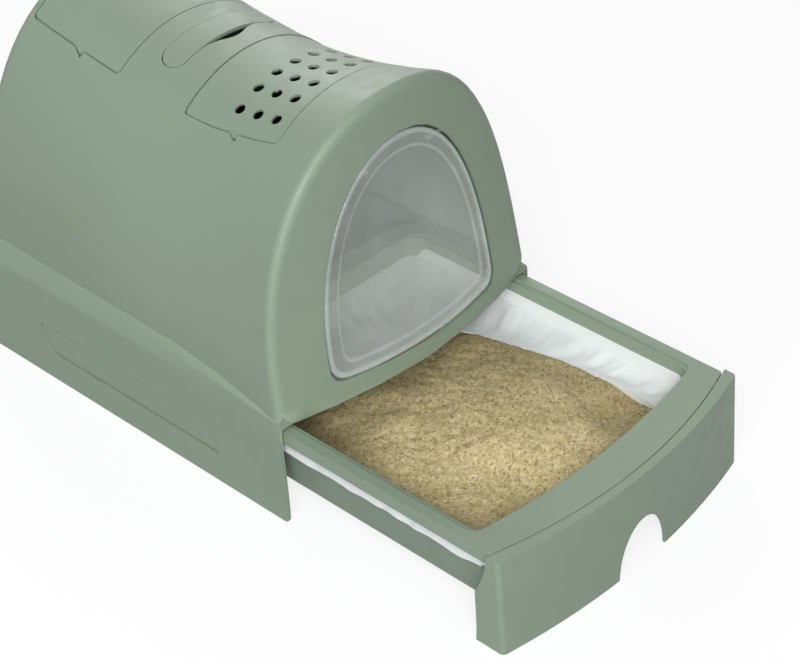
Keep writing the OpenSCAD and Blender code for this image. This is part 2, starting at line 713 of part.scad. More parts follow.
// the closed pocket under the strap, whose floor guides the legs and stops their feet
module strap_well() color(sage) {
    y0 = strap_y - strap_w / 2 - slit_w - 6;
    y1 = strap_y + strap_w / 2 + 7;
    g = slide_gap;
    difference() {
        roof_block(-well_half, well_half, y0, y1, strap_floor_z, under_roof, 12, 3);
        translate([-well_half + well_wall, y0 + well_wall, strap_floor_z + well_wall])
            cube([2 * (well_half - well_wall), y1 - y0 - 2 * well_wall, big]);
        for (side = [-1, 1])
            translate([side * leg_x - leg_l[0] / 2 - g, strap_y - leg_l[1] / 2 - g, strap_floor_z - 1])
                cube([leg_l[0] + 2 * g, leg_l[1] + 2 * g, well_wall + 2]);
    }
    // ledges that the ends of the strap lie on
    for (x = [-well_half + 1, strap_half - 10])
        roof_block(x, x + well_half - strap_half + 9, strap_y - strap_w / 4, strap_y + strap_w / 4,
            strap_floor_z, strap_t - strap_proud + seat_gap, 4, 1);
}

// ---- drawer, drawn in its closed place and then slid out ---------------------------------
module slid_out() translate([0, -drawer_out, 0]) children();

// the seam between the frame and the front panel, and the tray's own front, are arcs in plan
seam_corner_y = skirt_front_y - 15.5;
seam_sag = panel_sag + 5;
function arc_y(x, corner, sag) = corner - sag * (1 - pow(x / hood_half, 2));
function arc_line(half, corner, sag, n = 16) =
    [for (i = [0:n]) let (x = mix(-half, half, i / n)) [x, arc_y(x, corner, sag)]];
// the tray's rim carries the bag's hem, and the litter frame sits on that
tray_rim_z = frame_z - frame_t - 2 * seat_gap - liner_t;
tray_front_y = seam_corner_y + 8;
tray_rear_y = tray_front_y + tray_l;
frame_bar = 33;
frame_rear_bar = 20;
frame_band_z = frame_z - 14;

// plan of a drawer piece: arc in front, straight sides, front corners cut by rf and rear
// corners rounded by r
function front_corner(half, front, sag, rf, side) =
    [for (k = side > 0 ? [0:0.25:1] : [1:-0.25:0])
        let (q = bezier([half - rf, arc_y(half - rf, front, sag)], [half, arc_y(half, front, sag)],
            [half, arc_y(half, front, sag) + rf], k)) [side * q[0], q[1]]];
function drawer_plan(half, front, sag, rear, r, rf = 4) = concat(
    front_corner(half, front, sag, rf, -1),
    [for (i = [1:15]) let (x = (half - rf) * (i / 8 - 1)) [x, arc_y(x, front, sag)]],
    front_corner(half, front, sag, rf, 1),
    [for (f = [0:15:90]) [half - r + r * cos(f), rear - r + r * sin(f)]],
    [for (f = [90:15:180]) [-half + r + r * cos(f), rear - r + r * sin(f)]]);
function tray_half(z) = mix(tray_foot_half, tray_rim_half, (z - tray_z) / (tray_rim_z - tray_z));
function lifted(points, z) = [for (q = points) [q[0], q[1], z]];
tray_corner = 24;
// one level of the tray at height z, a distance inside its outer face; seen from below it
// runs clockwise
function tray_ring(z, inside, drawn_z) =
    let (h = tray_half(z) - inside, out = tray_rim_half - tray_half(z))
    lifted(drawer_plan(h, tray_front_y + inside + out, seam_sag, tray_rear_y - inside - out,
        tray_corner - inside, 12 - inside / 2), drawn_z);

module tray_shape(inside, z0, z1) {
    skin([tray_ring(z0, inside, z0), tray_ring(mix(z0, z1, 0.5), inside, mix(z0, z1, 0.5)),
        tray_ring(z1, inside, z1)]);
}

// tabs on the tray's front wall under the bag's hem, each screwed on a boss of the front panel
tab_xs = [-150, -55, 55, 150];
tab_half = 8;
tab_t = 2.4;
tab_z = 80;
tab_l = tray_front_y - seam_corner_y + tray_rim_half - tray_half(tab_z) + 10;
boss_r = 4.5;
boss_l = 24;
boss_top = tab_z - tab_t - seat_gap;
function tab_y(x) = arc_y(x, seam_corner_y, seam_sag) - 1;

module drawer_tray() color([0.5, 0.57, 0.51]) slid_out() {
    difference() {
        union() {
            tray_shape(0, tray_z, tray_rim_z);
            for (x = tab_xs) translate([x - tab_half, tab_y(x) - boss_r, tab_z - tab_t])
                cube([2 * tab_half, tab_l, tab_t]);
        }
        tray_shape(tray_wall, tray_z + tray_wall, tray_rim_z + 1);
        for (x = tab_xs) translate([x, tab_y(x), tab_z - 5]) cylinder(h = 10, r = screw_r + 0.2);
    }
}

panel_top_z = frame_z;
panel_foot_z = 1;
function panel_corner_y(z) = seam_corner_y - panel_strip - 4.5
    - panel_lean * (panel_top_z - z) / panel_top_z;
// the panel is a little flatter in plan at the floor than at its top
panel_flatter = 3;
function panel_y(x, z) = arc_y(x, panel_corner_y(z), panel_sag - panel_flatter * (1 - z / panel_top_z));
panel_round = 5;
function panel_corner(h, z, inside, side) =
    let (r = panel_round - 0.6 * inside, y = panel_y(h, z) + inside)
    [for (k = side > 0 ? [0:0.25:1] : [1:-0.25:0])
        let (q = bezier([h - r, panel_y(h - r, z) + inside], [h, y], [h, y + r], k))
        [side * q[0], q[1], z]];
function panel_ring(z, inside) =
    let (h = hood_half - inside)
    concat([[-h, seam_corner_y + 30, z]],
        panel_corner(h, z, inside, -1),
        [for (i = [1:15]) let (x = (h - panel_round) * (i / 8 - 1)) [x, panel_y(x, z) + inside, z]],
        panel_corner(h, z, inside, 1),
        [[h, seam_corner_y + 30, z]]);
module panel_solid(inside, z0, z1) {
    skin([for (k = [0:0.25:1]) panel_ring(mix(z0, z1, k), inside)]);
}
// the cheek's back edge follows the skirt's front edge and steps forward near the top
closed_gap = 1;
panel_back = concat(
    [for (z = [0:10:60]) [skirt_edge_y(z) - closed_gap, z]],
    [for (z = [70:10:100]) [mix(skirt_edge_y(60) - closed_gap, seam_corner_y,
        sin(90 * (z - 60) / 40)), z]],
    [[seam_corner_y, panel_top_z + 1]]);

// the arched hand notch in the middle of the panel's foot
module hand_notch() {
    polygon(concat([for (t = [0:7.5:180]) [notch_w / 2 * cos(t), notch_h * sin(t)]],
        [[-notch_w / 2, -1], [notch_w / 2, -1]]));
}

module drawer_front() color(sage) slid_out() {
    difference() {
        intersection() {
            panel_solid(0, panel_foot_z, panel_top_z);
            across(-hood_half - 1, hood_half + 1)
                polygon(concat([[-big, 0]], panel_back, [[-big, panel_top_z + 1]]));
        }
        panel_solid(panel_wall, panel_foot_z - 1, panel_top_z - panel_wall);
        // the strip on top ends where the litter frame begins
        upright(frame_band_z, panel_top_z + 1)
            polygon(concat(arc_line(hood_half + 1, seam_corner_y, seam_sag),
                [[hood_half + 1, 0], [-hood_half - 1, 0]]));
        along(-big, 0) hand_notch();
    }
    for (x = tab_xs) difference() {
        union() {
            translate([x, tab_y(x), boss_top - boss_l]) cylinder(h = boss_l, r = boss_r);
            translate([x - 1.5, panel_y(abs(x) + 2, boss_top) + 1, boss_top - boss_l])
                cube([3, tab_y(x) - panel_y(abs(x) + 2, boss_top) - 1, boss_l]);
        }
        translate([x, tab_y(x), boss_top - screw_l]) cylinder(h = screw_l + 1, r = screw_r + pin_gap);
    }
}

module panel_screws() color("silver") slid_out() {
    for (x = tab_xs) translate([x, tab_y(x), tab_z]) {
        cylinder(h = 1.6, r = screw_head_r);
        translate([0, 0, -screw_l]) cylinder(h = screw_l + 1, r = screw_r);
    }
}

// the frame's inner skirt runs down inside the bag, along the slope of the tray's walls
skirt_t = 2;
function skirt_half(z) = tray_half(z) - tray_wall - liner_t - 3 * seat_gap;
function skirt_plan(z, inside) = drawer_plan(skirt_half(z) - inside,
    seam_corner_y + frame_bar - skirt_t + inside, seam_sag - 8,
    tray_rear_y - frame_rear_bar + skirt_t - inside, 22 - inside, 14 - inside);
module litter_frame() color(sage) slid_out() {
    g = seat_gap;
    outer = drawer_plan(frame_half, seam_corner_y + panel_seam, seam_sag, tray_rear_y + 6, 28, 3);
    under = frame_z - frame_t;
    // the flat top and the outer skirt along the sides and the rear
    difference() {
        upright(frame_band_z, frame_z) polygon(outer);
        upright(0, under) polygon(drawer_plan(frame_half - 2, seam_corner_y - 12, seam_sag,
            tray_rear_y + 4, 26));
        upright(0, big) polygon(skirt_plan(under, skirt_t));
    }
    difference() {
        skin([for (z = [frame_skirt_z, under + g]) lifted(skirt_plan(min(z, under), 0), z)]);
        skin([for (z = [frame_skirt_z, under]) lifted(skirt_plan(z, skirt_t), z == under ? big : z - 1)]);
    }
}

// the bag: a tub in the tray, a hem over its rim and a strip that hangs outside
hem_foot_z = 84;
module liner_bag() color([0.95, 0.95, 0.94]) slid_out() {
    g = seat_gap;
    inside = tray_wall + g + liner_t;
    difference() {
        tray_shape(tray_wall + g, tray_z + tray_wall + g, tray_rim_z);
        tray_shape(inside, tray_z + inside, tray_rim_z + 1);
    }
    difference() {
        upright(hem_foot_z, tray_rim_z + g + liner_t) hem_outline(g + liner_t);
        upright(hem_foot_z - 1, tray_rim_z + g) hem_outline(g);
        tray_shape(inside, hem_foot_z, tray_rim_z);
        upright(tray_rim_z - eps, big) hem_outline(-inside);
    }
    difference() {
        upright(tray_rim_z - eps, tray_rim_z + g + eps) hem_outline(-tray_wall - g);
        upright(tray_rim_z - 1, big) hem_outline(-inside);
    }
}
module hem_outline(grow) {
    polygon(drawer_plan(tray_rim_half + grow, tray_front_y - grow, seam_sag, tray_rear_y + grow,
        tray_corner + grow, 12 + grow / 2));
}

// the litter lies away from the far side and the rear, where the bag is slack: its far edge
// drifts inwards towards the rear and turns round a wide corner in front
litter_far = hood_half - 60;
litter_drift = 0.14;
litter_corner = 60;
litter_rear = 65;
module litter_plan() {
    y0 = tray_front_y - seam_sag;
    y1 = y0 + 2 * litter_corner;
    y2 = tray_rear_y - litter_rear;
    polygon(concat([[-hood_half, y0]],
        [for (k = [0:0.125:1]) bezier([litter_far - litter_corner, y0], [litter_far, y0],
            [litter_far, y1], k)],
        [for (k = [0.25:0.25:1]) bezier([litter_far, y1],
            [litter_far - litter_drift * (y2 - y1), y2], [litter_far - 2 * litter_corner, y2], k)],
        [[-hood_half, y2]]));
}
module litter_bed() color([0.76, 0.66, 0.47]) slid_out() {
    inside = tray_wall + liner_t + 2 * seat_gap;
    intersection() {
        tray_shape(inside, tray_z + inside, litter_z);
        upright(0, big) litter_plan();
    }
}

hood_shell();
base_pan();
base_screws();
flap_bearings();
door_flap();
vented_lid();
filter_well();
carbon_filter();
storage_lid();
storage_bin();
carry_strap();
strap_well();
drawer_tray();
drawer_front();
panel_screws();
litter_frame();
liner_bag();
litter_bed();
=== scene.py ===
# %% [markdown]
# # A drawer litter box
#
# The box is an arched plastic hood with a clear swinging door, two roof lids and a carrying
# strap, over a drawer of litter that slides out in front. This lesson dresses its packed
# model: the hard pieces come from the construction, and get soft edges and a moulded finish
# here, while the bag, the litter and the clear door are made from scratch.
#
# Everything is in metres, in the frame of the construction: X to the right, -Y to the front,
# +Z up, with the origin on the floor under the middle of the hood.

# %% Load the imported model
import json
import math
import bpy
from mathutils import Matrix, Vector, noise


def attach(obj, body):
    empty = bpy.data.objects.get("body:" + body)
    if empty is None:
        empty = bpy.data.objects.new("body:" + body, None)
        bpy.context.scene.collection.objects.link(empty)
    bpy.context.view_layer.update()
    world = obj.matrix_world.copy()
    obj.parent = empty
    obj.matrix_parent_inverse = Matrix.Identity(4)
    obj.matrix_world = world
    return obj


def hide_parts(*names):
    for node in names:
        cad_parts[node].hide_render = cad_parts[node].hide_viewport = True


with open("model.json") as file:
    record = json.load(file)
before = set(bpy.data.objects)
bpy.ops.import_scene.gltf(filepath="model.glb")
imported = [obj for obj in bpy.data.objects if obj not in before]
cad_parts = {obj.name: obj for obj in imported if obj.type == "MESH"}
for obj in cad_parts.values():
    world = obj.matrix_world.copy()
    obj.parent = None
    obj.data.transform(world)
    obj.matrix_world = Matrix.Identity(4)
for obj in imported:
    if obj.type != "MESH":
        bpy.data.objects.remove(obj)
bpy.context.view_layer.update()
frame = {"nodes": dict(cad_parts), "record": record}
nodes = frame["nodes"]
scene = bpy.context.scene
MM = 0.001

# %% [markdown]
# ## The camera
#
# A camera can be aimed with a Track To constraint, but then its roll can't be set. Here its
# three axes are worked out from yaw, pitch and roll and written as one matrix: the camera
# looks along its own -Z, with +X to the right of the picture and +Y up.

# %% The camera
CAMERA_PLACE = Vector((-1.3080, -1.3143, 1.3541))
CAMERA_YAW, CAMERA_PITCH, CAMERA_ROLL = map(math.radians, (49.944, 35.724, 1.854))
CAMERA_LENS = 89.31


def camera_axes(yaw, pitch, roll):
    """The camera's right, up and forward directions."""
    forward = Vector((math.sin(yaw) * math.cos(pitch), math.cos(yaw) * math.cos(pitch),
                      -math.sin(pitch)))
    level = Vector((math.cos(yaw), -math.sin(yaw), 0))
    upward = level.cross(forward)
    right = math.cos(roll) * level + math.sin(roll) * upward
    up = math.cos(roll) * upward - math.sin(roll) * level
    return right, up, forward


right, up, forward = camera_axes(CAMERA_YAW, CAMERA_PITCH, CAMERA_ROLL)
lens = bpy.data.cameras.new("camera")
lens.lens = CAMERA_LENS
lens.sensor_width = 36
camera = bpy.data.objects.new("camera", lens)
scene.collection.objects.link(camera)
turn = Matrix((right, up, -forward)).transposed().to_4x4()
camera.matrix_world = Matrix.Translation(CAMERA_PLACE) @ turn
scene.camera = camera
print("camera looks along", [round(v, 3) for v in forward])

# %% [markdown]
# ## Materials
#
# Every finish is a small node tree: one Principled shader, whose colour, roughness and bump
# come from noises on Object coordinates. Those coordinates are in metres, so a noise of
# scale 1000 has grains of about a millimetre, whatever the size of the piece.

# %% Helpers for materials


def new_finish(name, roughness=0.5, **settings):
    """A material with a Principled shader; returns the material, its node tree and shader."""
    material = bpy.data.materials.new(name)
    material.use_nodes = True
    tree = material.node_tree
    shader = tree.nodes["Principled BSDF"]
    shader.inputs["Roughness"].default_value = roughness
    for socket, value in settings.items():
        shader.inputs[socket.replace("_", " ")].default_value = value
    return material, tree, shader


def linear(red, green, blue):
    """A colour given in display values from 0 to 255, as the linear numbers a shader takes."""
    def one(value):
        value /= 255
        return value / 12.92 if value <= 0.04045 else ((value + 0.055) / 1.055) ** 2.4
    return one(red), one(green), one(blue), 1


def add_noise(tree, scale, detail=2.0, stretch=(1, 1, 1)):
    """A noise on the piece's own coordinates; returns its value socket."""
    place = tree.nodes.new("ShaderNodeTexCoord")
    mapping = tree.nodes.new("ShaderNodeMapping")
    mapping.inputs["Scale"].default_value = stretch
    pattern = tree.nodes.new("ShaderNodeTexNoise")
    pattern.inputs["Scale"].default_value = scale
    pattern.inputs["Detail"].default_value = detail
    tree.links.new(place.outputs["Object"], mapping.inputs["Vector"])
    tree.links.new(mapping.outputs["Vector"], pattern.inputs["Vector"])
    return pattern.outputs["Fac"]


def add_ramp(tree, value, stops):
    """Turns a value into a colour; stops are (place, colour) pairs, and the first two end it."""
    ramp = tree.nodes.new("ShaderNodeValToRGB")
    elements = ramp.color_ramp.elements
    for (place, colour), element in zip(stops, elements):
        element.position, element.color = place, colour
    for place, colour in stops[2:]:
        elements.new(place).color = colour
    tree.links.new(value, ramp.inputs["Fac"])
    return ramp.outputs["Color"]


def add_range(tree, value, low, high, first=0.3, last=0.7):
    """Gives low at first and high at last, which by default are a noise's middle values."""
    spread = tree.nodes.new("ShaderNodeMapRange")
    spread.inputs["From Min"].default_value = first
    spread.inputs["From Max"].default_value = last
    spread.inputs["To Min"].default_value = low
    spread.inputs["To Max"].default_value = high
    tree.links.new(value, spread.inputs["Value"])
    return spread.outputs["Result"]


def add_bump(tree, shader, heights, distance=MM, start=None):
    """Chains bumps on the shader; heights are (value socket, strength) pairs."""
    normal = start
    for value, strength in heights:
        bump = tree.nodes.new("ShaderNodeBump")
        bump.inputs["Strength"].default_value = strength
        bump.inputs["Distance"].default_value = distance
        tree.links.new(value, bump.inputs["Height"])
        if normal:
            tree.links.new(normal, bump.inputs["Normal"])
        normal = bump.outputs["Normal"]
    tree.links.new(normal, shader.inputs["Normal"])


print("white in linear numbers:", [round(v, 3) for v in linear(255, 255, 255)])

# %% [markdown]
# ### Moulded plastic
#
# The hood, lids and drawer are one polypropylene in a sage green. Such a moulding isn't quite
# even: its colour and its gloss drift a little from place to place, its surface has a fine
# spark-eroded grain, and it flows in very shallow waves. Four noises of very different scale
# give that. Every moulded edge also has a small radius. A Bevel node rounds the shading over
# an edge without another face, which suits the roof, whose cut seams have too many small
# faces for a Bevel modifier.

# %% Moulded plastic


def moulded_plastic(name, colour, roughness=0.46, edge=0.9 * MM):
    """A satin plastic that drifts a little in colour; edge is the radius its edges seem to have."""
    material, tree, shader = new_finish(name, roughness, Specular_IOR_Level=0.4)
    darker = [0.97 * c for c in colour[:3]] + [1]
    paler = [min(1, 1.025 * c) for c in colour[:3]] + [1]
    drift = add_noise(tree, 5, 2)
    tree.links.new(add_ramp(tree, drift, [(0.3, darker), (0.7, paler)]),
                   shader.inputs["Base Color"])
    patches = add_noise(tree, 60, 2)
    tree.links.new(add_range(tree, patches, roughness - 0.05, roughness + 0.06),
                   shader.inputs["Roughness"])
    grain = add_noise(tree, 1500, 2)
    flow = add_noise(tree, 14, 1)
    rounded = tree.nodes.new("ShaderNodeBevel")
    rounded.samples = 6
    rounded.inputs["Radius"].default_value = edge
    add_bump(tree, shader, [(grain, 0.08), (flow, 0.06)], start=rounded.outputs["Normal"])
    return material


SAGE = linear(143, 160, 141)
SAGE_TRAY = linear(136, 153, 135)
# a darker copy of the sage for the wells and the pocket: painted shade for those hollows
SAGE_INNER_SHADED = linear(118, 135, 118)
# the sage as it looks in shade: painted shade, so the base sinks into the shadow under the hood
SAGE_BASE_SHADED = linear(100, 115, 101)
sage_shell = moulded_plastic("sage_shell", SAGE)
sage_tray = moulded_plastic("sage_tray", SAGE_TRAY, 0.5)
sage_inner = moulded_plastic("sage_inner", SAGE_INNER_SHADED, 0.5)
dark_base = moulded_plastic("dark_base", SAGE_BASE_SHADED, 0.55)
print("plastics:", sage_shell.name, sage_tray.name, sage_inner.name, dark_base.name)

# %% [markdown]
# ### Clear plastic
#
# The door is clear polystyrene with a faint milky haze. Full transmission would refract the
# lamps' light, which a path tracer then loses, and the cabin behind would turn black. A low
# alpha lets the light straight through instead. Layer Weight makes the sheet denser and
# whiter where it is seen edge-on: partly the haze of a longer path through the plastic, and
# partly a painted reflection, for the shine that a clear sheet has edge-on. The rim holds more
# plastic than the sheet, so it gets a finish of its own that is denser from the start, and the
# fine step inside it gets that finish too, which paints a pale highlight line along the step.

# %% Clear plastic


def add_math(tree, operation, one, two):
    """Joins two value sockets by a Math node."""
    both = tree.nodes.new("ShaderNodeMath")
    both.operation = operation
    tree.links.new(one, both.inputs[0])
    tree.links.new(two, both.inputs[1])
    return both.outputs[0]


def clear_plastic(name, least, most):
    """A hazy clear plastic, least dense face-on and most dense edge-on, partly as a painted
    reflection.
    """
    material, tree, shader = new_finish(name, 0.1, Base_Color=linear(229, 238, 233), IOR=1.46,
                                        Specular_IOR_Level=1.0)
    facing = tree.nodes.new("ShaderNodeLayerWeight")
    facing.inputs["Blend"].default_value = 0.35
    # denser and whiter edge-on: haze, and partly a painted reflection
    density_and_reflection = add_range(tree, facing.outputs["Facing"], least, most, 0, 1)
    haze = add_range(tree, add_noise(tree, 18, 3), 0.85, 1.15)
    tree.links.new(add_math(tree, "MULTIPLY", density_and_reflection, haze), shader.inputs["Alpha"])
    tree.links.new(add_range(tree, add_noise(tree, 40, 4), 0.06, 0.16),
                   shader.inputs["Roughness"])
    add_bump(tree, shader, [(add_noise(tree, 25, 2), 0.05)])
    return material


clear_door = clear_plastic("clear_door", 0.09, 0.55)
# denser for the thick rim, and a painted highlight line on the step inside it
clear_rim_and_highlight = clear_plastic("clear_rim_and_highlight", 0.27, 0.82)
print("clear plastics:", clear_door.name, clear_rim_and_highlight.name)

# %% [markdown]
# ### Bag film
#
# The bag is a thin milky film with a soft gloss. It could be a translucent shader, but the
# tray lies close behind it and hardly shows, so a bright diffuse white with a little
# subsurface light is enough. That light spreads equally in red, green and blue. The default
# spreads red furthest, and so thin a film then loses its red and turns bluish. Creases that
# are too fine for the mesh come from two bumps.

# %% Bag film


def film(name):
    """A milky film with long fine creases and a crinkle on them."""
    material, tree, shader = new_finish(name, 0.35, Base_Color=linear(238, 243, 243),
                                        Subsurface_Weight=0.25, Subsurface_Scale=0.004,
                                        Subsurface_Radius=(0.3, 0.3, 0.3),
                                        Specular_IOR_Level=0.45)
    crease = add_noise(tree, 55, 4, (1, 1, 0.35))
    crinkle = add_noise(tree, 260, 3)
    add_bump(tree, shader, [(crease, 0.6), (crinkle, 0.15)], 2 * MM)
    return material


liner_film = film("liner_film")
print("film:", liner_film.name)

# %% [markdown]
# ### Litter granules
#
# The litter's colour changes from grain to grain. Noise alone gives soft clouds, but each
# cell of a Voronoi pattern gets one random colour, as a grain has. A slow noise makes whole
# patches darker or paler. The colours are then multiplied once more, by a soft ball that is
# bright on the heap and dark towards the sides. Its slight paleness on the heap is fine dust
# from the pouring; its dark sides are painted shade, such as the hood throws over the litter.

# %% Litter granules
GRAIN_SCALE = 420
# the ball that makes the heap a little paler with dust and paints shade round it
DUST_AND_SHADE_MIDDLE, DUST_AND_SHADE_RADIUS = (-0.03, -0.37, 0.08), 0.24


def add_cells(tree, scale):
    """A Voronoi pattern on Object coordinates; returns its distance and colour sockets."""
    place = tree.nodes.new("ShaderNodeTexCoord")
    cells = tree.nodes.new("ShaderNodeTexVoronoi")
    cells.inputs["Scale"].default_value = scale
    tree.links.new(place.outputs["Object"], cells.inputs["Vector"])
    return cells.outputs["Distance"], cells.outputs["Color"]


def add_sphere(tree, middle, radius):
    """1 at the middle of a ball, falling to 0 at its radius; a Mapping node centres it."""
    place = tree.nodes.new("ShaderNodeTexCoord")
    mapping = tree.nodes.new("ShaderNodeMapping")
    mapping.inputs["Location"].default_value = [-c / radius for c in middle]
    mapping.inputs["Scale"].default_value = (1 / radius,) * 3
    ball = tree.nodes.new("ShaderNodeTexGradient")
    ball.gradient_type = "SPHERICAL"
    tree.links.new(place.outputs["Object"], mapping.inputs["Vector"])
    tree.links.new(mapping.outputs["Vector"], ball.inputs["Vector"])
    return ball.outputs["Fac"]


def add_tint(tree, colour, tint):
    """Multiplies two colours."""
    mix = tree.nodes.new("ShaderNodeMix")
    mix.data_type, mix.blend_type = "RGBA", "MULTIPLY"
    mix.inputs["Factor"].default_value = 1
    tree.links.new(colour, mix.inputs["A"])
    tree.links.new(tint, mix.inputs["B"])
    return mix.outputs["Result"]


def granules(name):
    """Tan granules of five shades in soft patches, with dust on the heap and painted shade round
    it.
    """
    material, tree, shader = new_finish(name, 0.85, Specular_IOR_Level=0.25)
    distance, cell_colour = add_cells(tree, GRAIN_SCALE)
    shade = tree.nodes.new("ShaderNodeSeparateColor")
    tree.links.new(cell_colour, shade.inputs["Color"])
    grains = add_ramp(tree, shade.outputs["Red"], [
        (0.0, linear(160, 143, 100)), (1.0, linear(234, 221, 182)),
        (0.14, linear(190, 173, 126)), (0.5, linear(211, 195, 148)), (0.85, linear(222, 207, 163))])
    patches = add_ramp(tree, add_noise(tree, 22, 4), [
        (0.3, (0.86, 0.85, 0.83, 1)), (0.7, (1.08, 1.07, 1.05, 1))])
    # paler dust on the heap, and painted shade darker towards the sides
    dust_and_shade = add_ramp(tree, add_sphere(tree, DUST_AND_SHADE_MIDDLE, DUST_AND_SHADE_RADIUS), [
        (0.24, (0.57, 0.555, 0.53, 1)), (0.62, (1.04, 1.04, 1.03, 1))])
    tree.links.new(add_tint(tree, add_tint(tree, grains, patches), dust_and_shade),
                   shader.inputs["Base Color"])
    add_bump(tree, shader, [(distance, 0.5), (add_noise(tree, 1500, 2), 0.3)])
    return material


litter_grain = granules("litter")
print("litter:", litter_grain.name, "with grains of about", round(1 / GRAIN_SCALE, 4), "m")

# %% [markdown]
# ### Felt and zinc
#
# The carbon pad is a black needled felt: no gloss, and a noise that is squeezed along Z gives
# its layers. The screws are zinc plated steel, a metal whose gloss varies in fine patches.

# %% Felt and zinc


def needled_felt(name):
    """A black felt with fine fibres in flat layers."""
    material, tree, shader = new_finish(name, 0.95, Base_Color=linear(38, 38, 40),
                                        Specular_IOR_Level=0.2)
    add_bump(tree, shader, [(add_noise(tree, 700, 5, (1, 1, 4)), 0.6)])
    return material


def zinc_plate(name):
    """A dull silver plating."""
    material, tree, shader = new_finish(name, 0.35, Base_Color=linear(190, 192, 196),
                                        Metallic=1.0)
    tree.links.new(add_range(tree, add_noise(tree, 300, 3), 0.25, 0.45),
                   shader.inputs["Roughness"])
    add_bump(tree, shader, [(add_noise(tree, 900, 2), 0.05)])
    return material


carbon_felt = needled_felt("carbon")
screw_zinc = zinc_plate("screw")
print("finishes:", [material.name for material in bpy.data.materials])

# %% [markdown]
# ## The hard pieces
#
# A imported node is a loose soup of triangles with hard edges, which is right for measuring and
# looks like cut card. A moulded piece has a small radius on every edge, and that radius is
# what catches the light. So each hard piece gets a copy: its doubles are merged, flat areas
# are dissolved into single faces, its sharp edges get a small bevel where there is room for
# one, and it is shaded smooth below a set angle. The copy stands for the node, and rides on
# the same body.

# %% Helpers for hard pieces
BODY_OF = {node: body for body, members in frame["record"]["behaviour"]["bodies"].items()
           for node in members}
print("bodies:", sorted(set(BODY_OF.values())))
SMOOTH_ANGLE, SHARP_ANGLE = 32, 40      # in degrees


def select_only(piece):
    """Makes a piece the only selected one, and the active one."""
    for other in bpy.context.selected_objects:
        other.select_set(False)
    piece.select_set(True)
    bpy.context.view_layer.objects.active = piece


def apply_all(piece):
    """Applies every modifier of a piece, in order."""
    select_only(piece)
    for modifier in list(piece.modifiers):
        bpy.ops.object.modifier_apply(modifier=modifier.name)


def bevelled(piece, width, segments=2):
    """Rounds the edges that are sharper than the sharp angle."""
    bevel = piece.modifiers.new("edge_radius", "BEVEL")
    bevel.width = width
    bevel.segments = segments
    bevel.limit_method = "ANGLE"
    bevel.angle_limit = math.radians(SHARP_ANGLE)
    bevel.use_clamp_overlap = True
    bevel.miter_outer = "MITER_ARC"
    apply_all(piece)


def dressed(piece, material, body, node):
    """Gives a finished piece its material and its body, and hides the node that it stands for."""
    piece.data.materials.clear()
    piece.data.materials.append(material)
    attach(piece, body)
    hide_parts(node)


def merged_copy(name, node):
    """A copy of a node with its doubles merged and its flat areas dissolved."""
    piece = bpy.data.objects.new(name, nodes[node].data.copy())
    scene.collection.objects.link(piece)
    select_only(piece)
    bpy.ops.object.mode_set(mode="EDIT")
    bpy.ops.mesh.select_all(action="SELECT")
    bpy.ops.mesh.remove_doubles(threshold=0.002 * MM)
    bpy.ops.mesh.dissolve_limited(angle_limit=math.radians(0.3))
    bpy.ops.object.mode_set(mode="OBJECT")
    return piece


def smooth_below(piece, degrees):
    """Smooth shading below an angle; large flat faces keep their flatness."""
    select_only(piece)
    bpy.ops.object.shade_smooth_by_angle(angle=math.radians(degrees))
    weighted = piece.modifiers.new("flat_faces_win", "WEIGHTED_NORMAL")
    weighted.weight = 90
    weighted.keep_sharp = True
    apply_all(piece)


def moulded(name, node, material, radius=0.0, segments=2):
    """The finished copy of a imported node, with its edges rounded where a radius is given."""
    piece = merged_copy(name, node)
    if radius:
        bevelled(piece, radius, segments)
    smooth_below(piece, SMOOTH_ANGLE)
    dressed(piece, material, BODY_OF[node], node)
    print(name, "faces:", len(piece.data.polygons))
    return piece


# %% [markdown]
# ### A loft through closed rings
#
# The groove, the door, the litter and the bag are all skins through closed rings of equally
# many points. Blender has no loft tool for meshes, so the skin's points and faces are written
# down by two loops, and Blender then turns all the normals outward.

# %% A loft through closed rings


def facing_out(piece):
    """Turns the normals of a piece outward."""
    select_only(piece)
    bpy.ops.object.mode_set(mode="EDIT")
    bpy.ops.mesh.select_all(action="SELECT")
    bpy.ops.mesh.normals_make_consistent(inside=False)
    bpy.ops.object.mode_set(mode="OBJECT")


def lofted(name, rings, middles=None):
    """Skins rings of equal length; middles are the two points that close the ends."""
    count = len(rings[0])
    points = [tuple(point) for ring in rings for point in ring]
    faces = [(i * count + j, i * count + (j + 1) % count,
              (i + 1) * count + (j + 1) % count, (i + 1) * count + j)
             for i in range(len(rings) - 1) for j in range(count)]
    if middles:
        first, last = len(points), len(points) + 1
        points += [tuple(middle) for middle in middles]
        faces += [((j + 1) % count, j, first) for j in range(count)]
        start = (len(rings) - 1) * count
        faces += [(start + j, start + (j + 1) % count, last) for j in range(count)]
    mesh = bpy.data.meshes.new(name)
    mesh.from_pydata(points, [], faces)
    piece = bpy.data.objects.new(name, mesh)
    scene.collection.objects.link(piece)
    facing_out(piece)
    return piece


# %% [markdown]
# ## The hood's own surface
#
# The hood, its lids and the strap all lie on one lofted surface: an arch that swells towards
# both ends, a bulged face that leans back, and a round rim between them. The seams cut that
# surface into long thin triangles, and plain smooth shading shows every one of them as a
# dent. The surface is a formula, so its true normal is known at any point. Each corner of a
# face on the outside is given that normal, and the cut-up mesh shades like the whole surface.

# %% The arch and the face as formulas
HALF_WIDTH, LEDGE_Z, MOUTH_Z = 0.200, 0.133, 0.113
WAIST_Y, CREST_Z, ARCH_HALF = -0.0185, 0.389, 0.1835
REAR_Y, REAR_ROUND, RIM_ROUND = 0.240, 0.013, 0.009
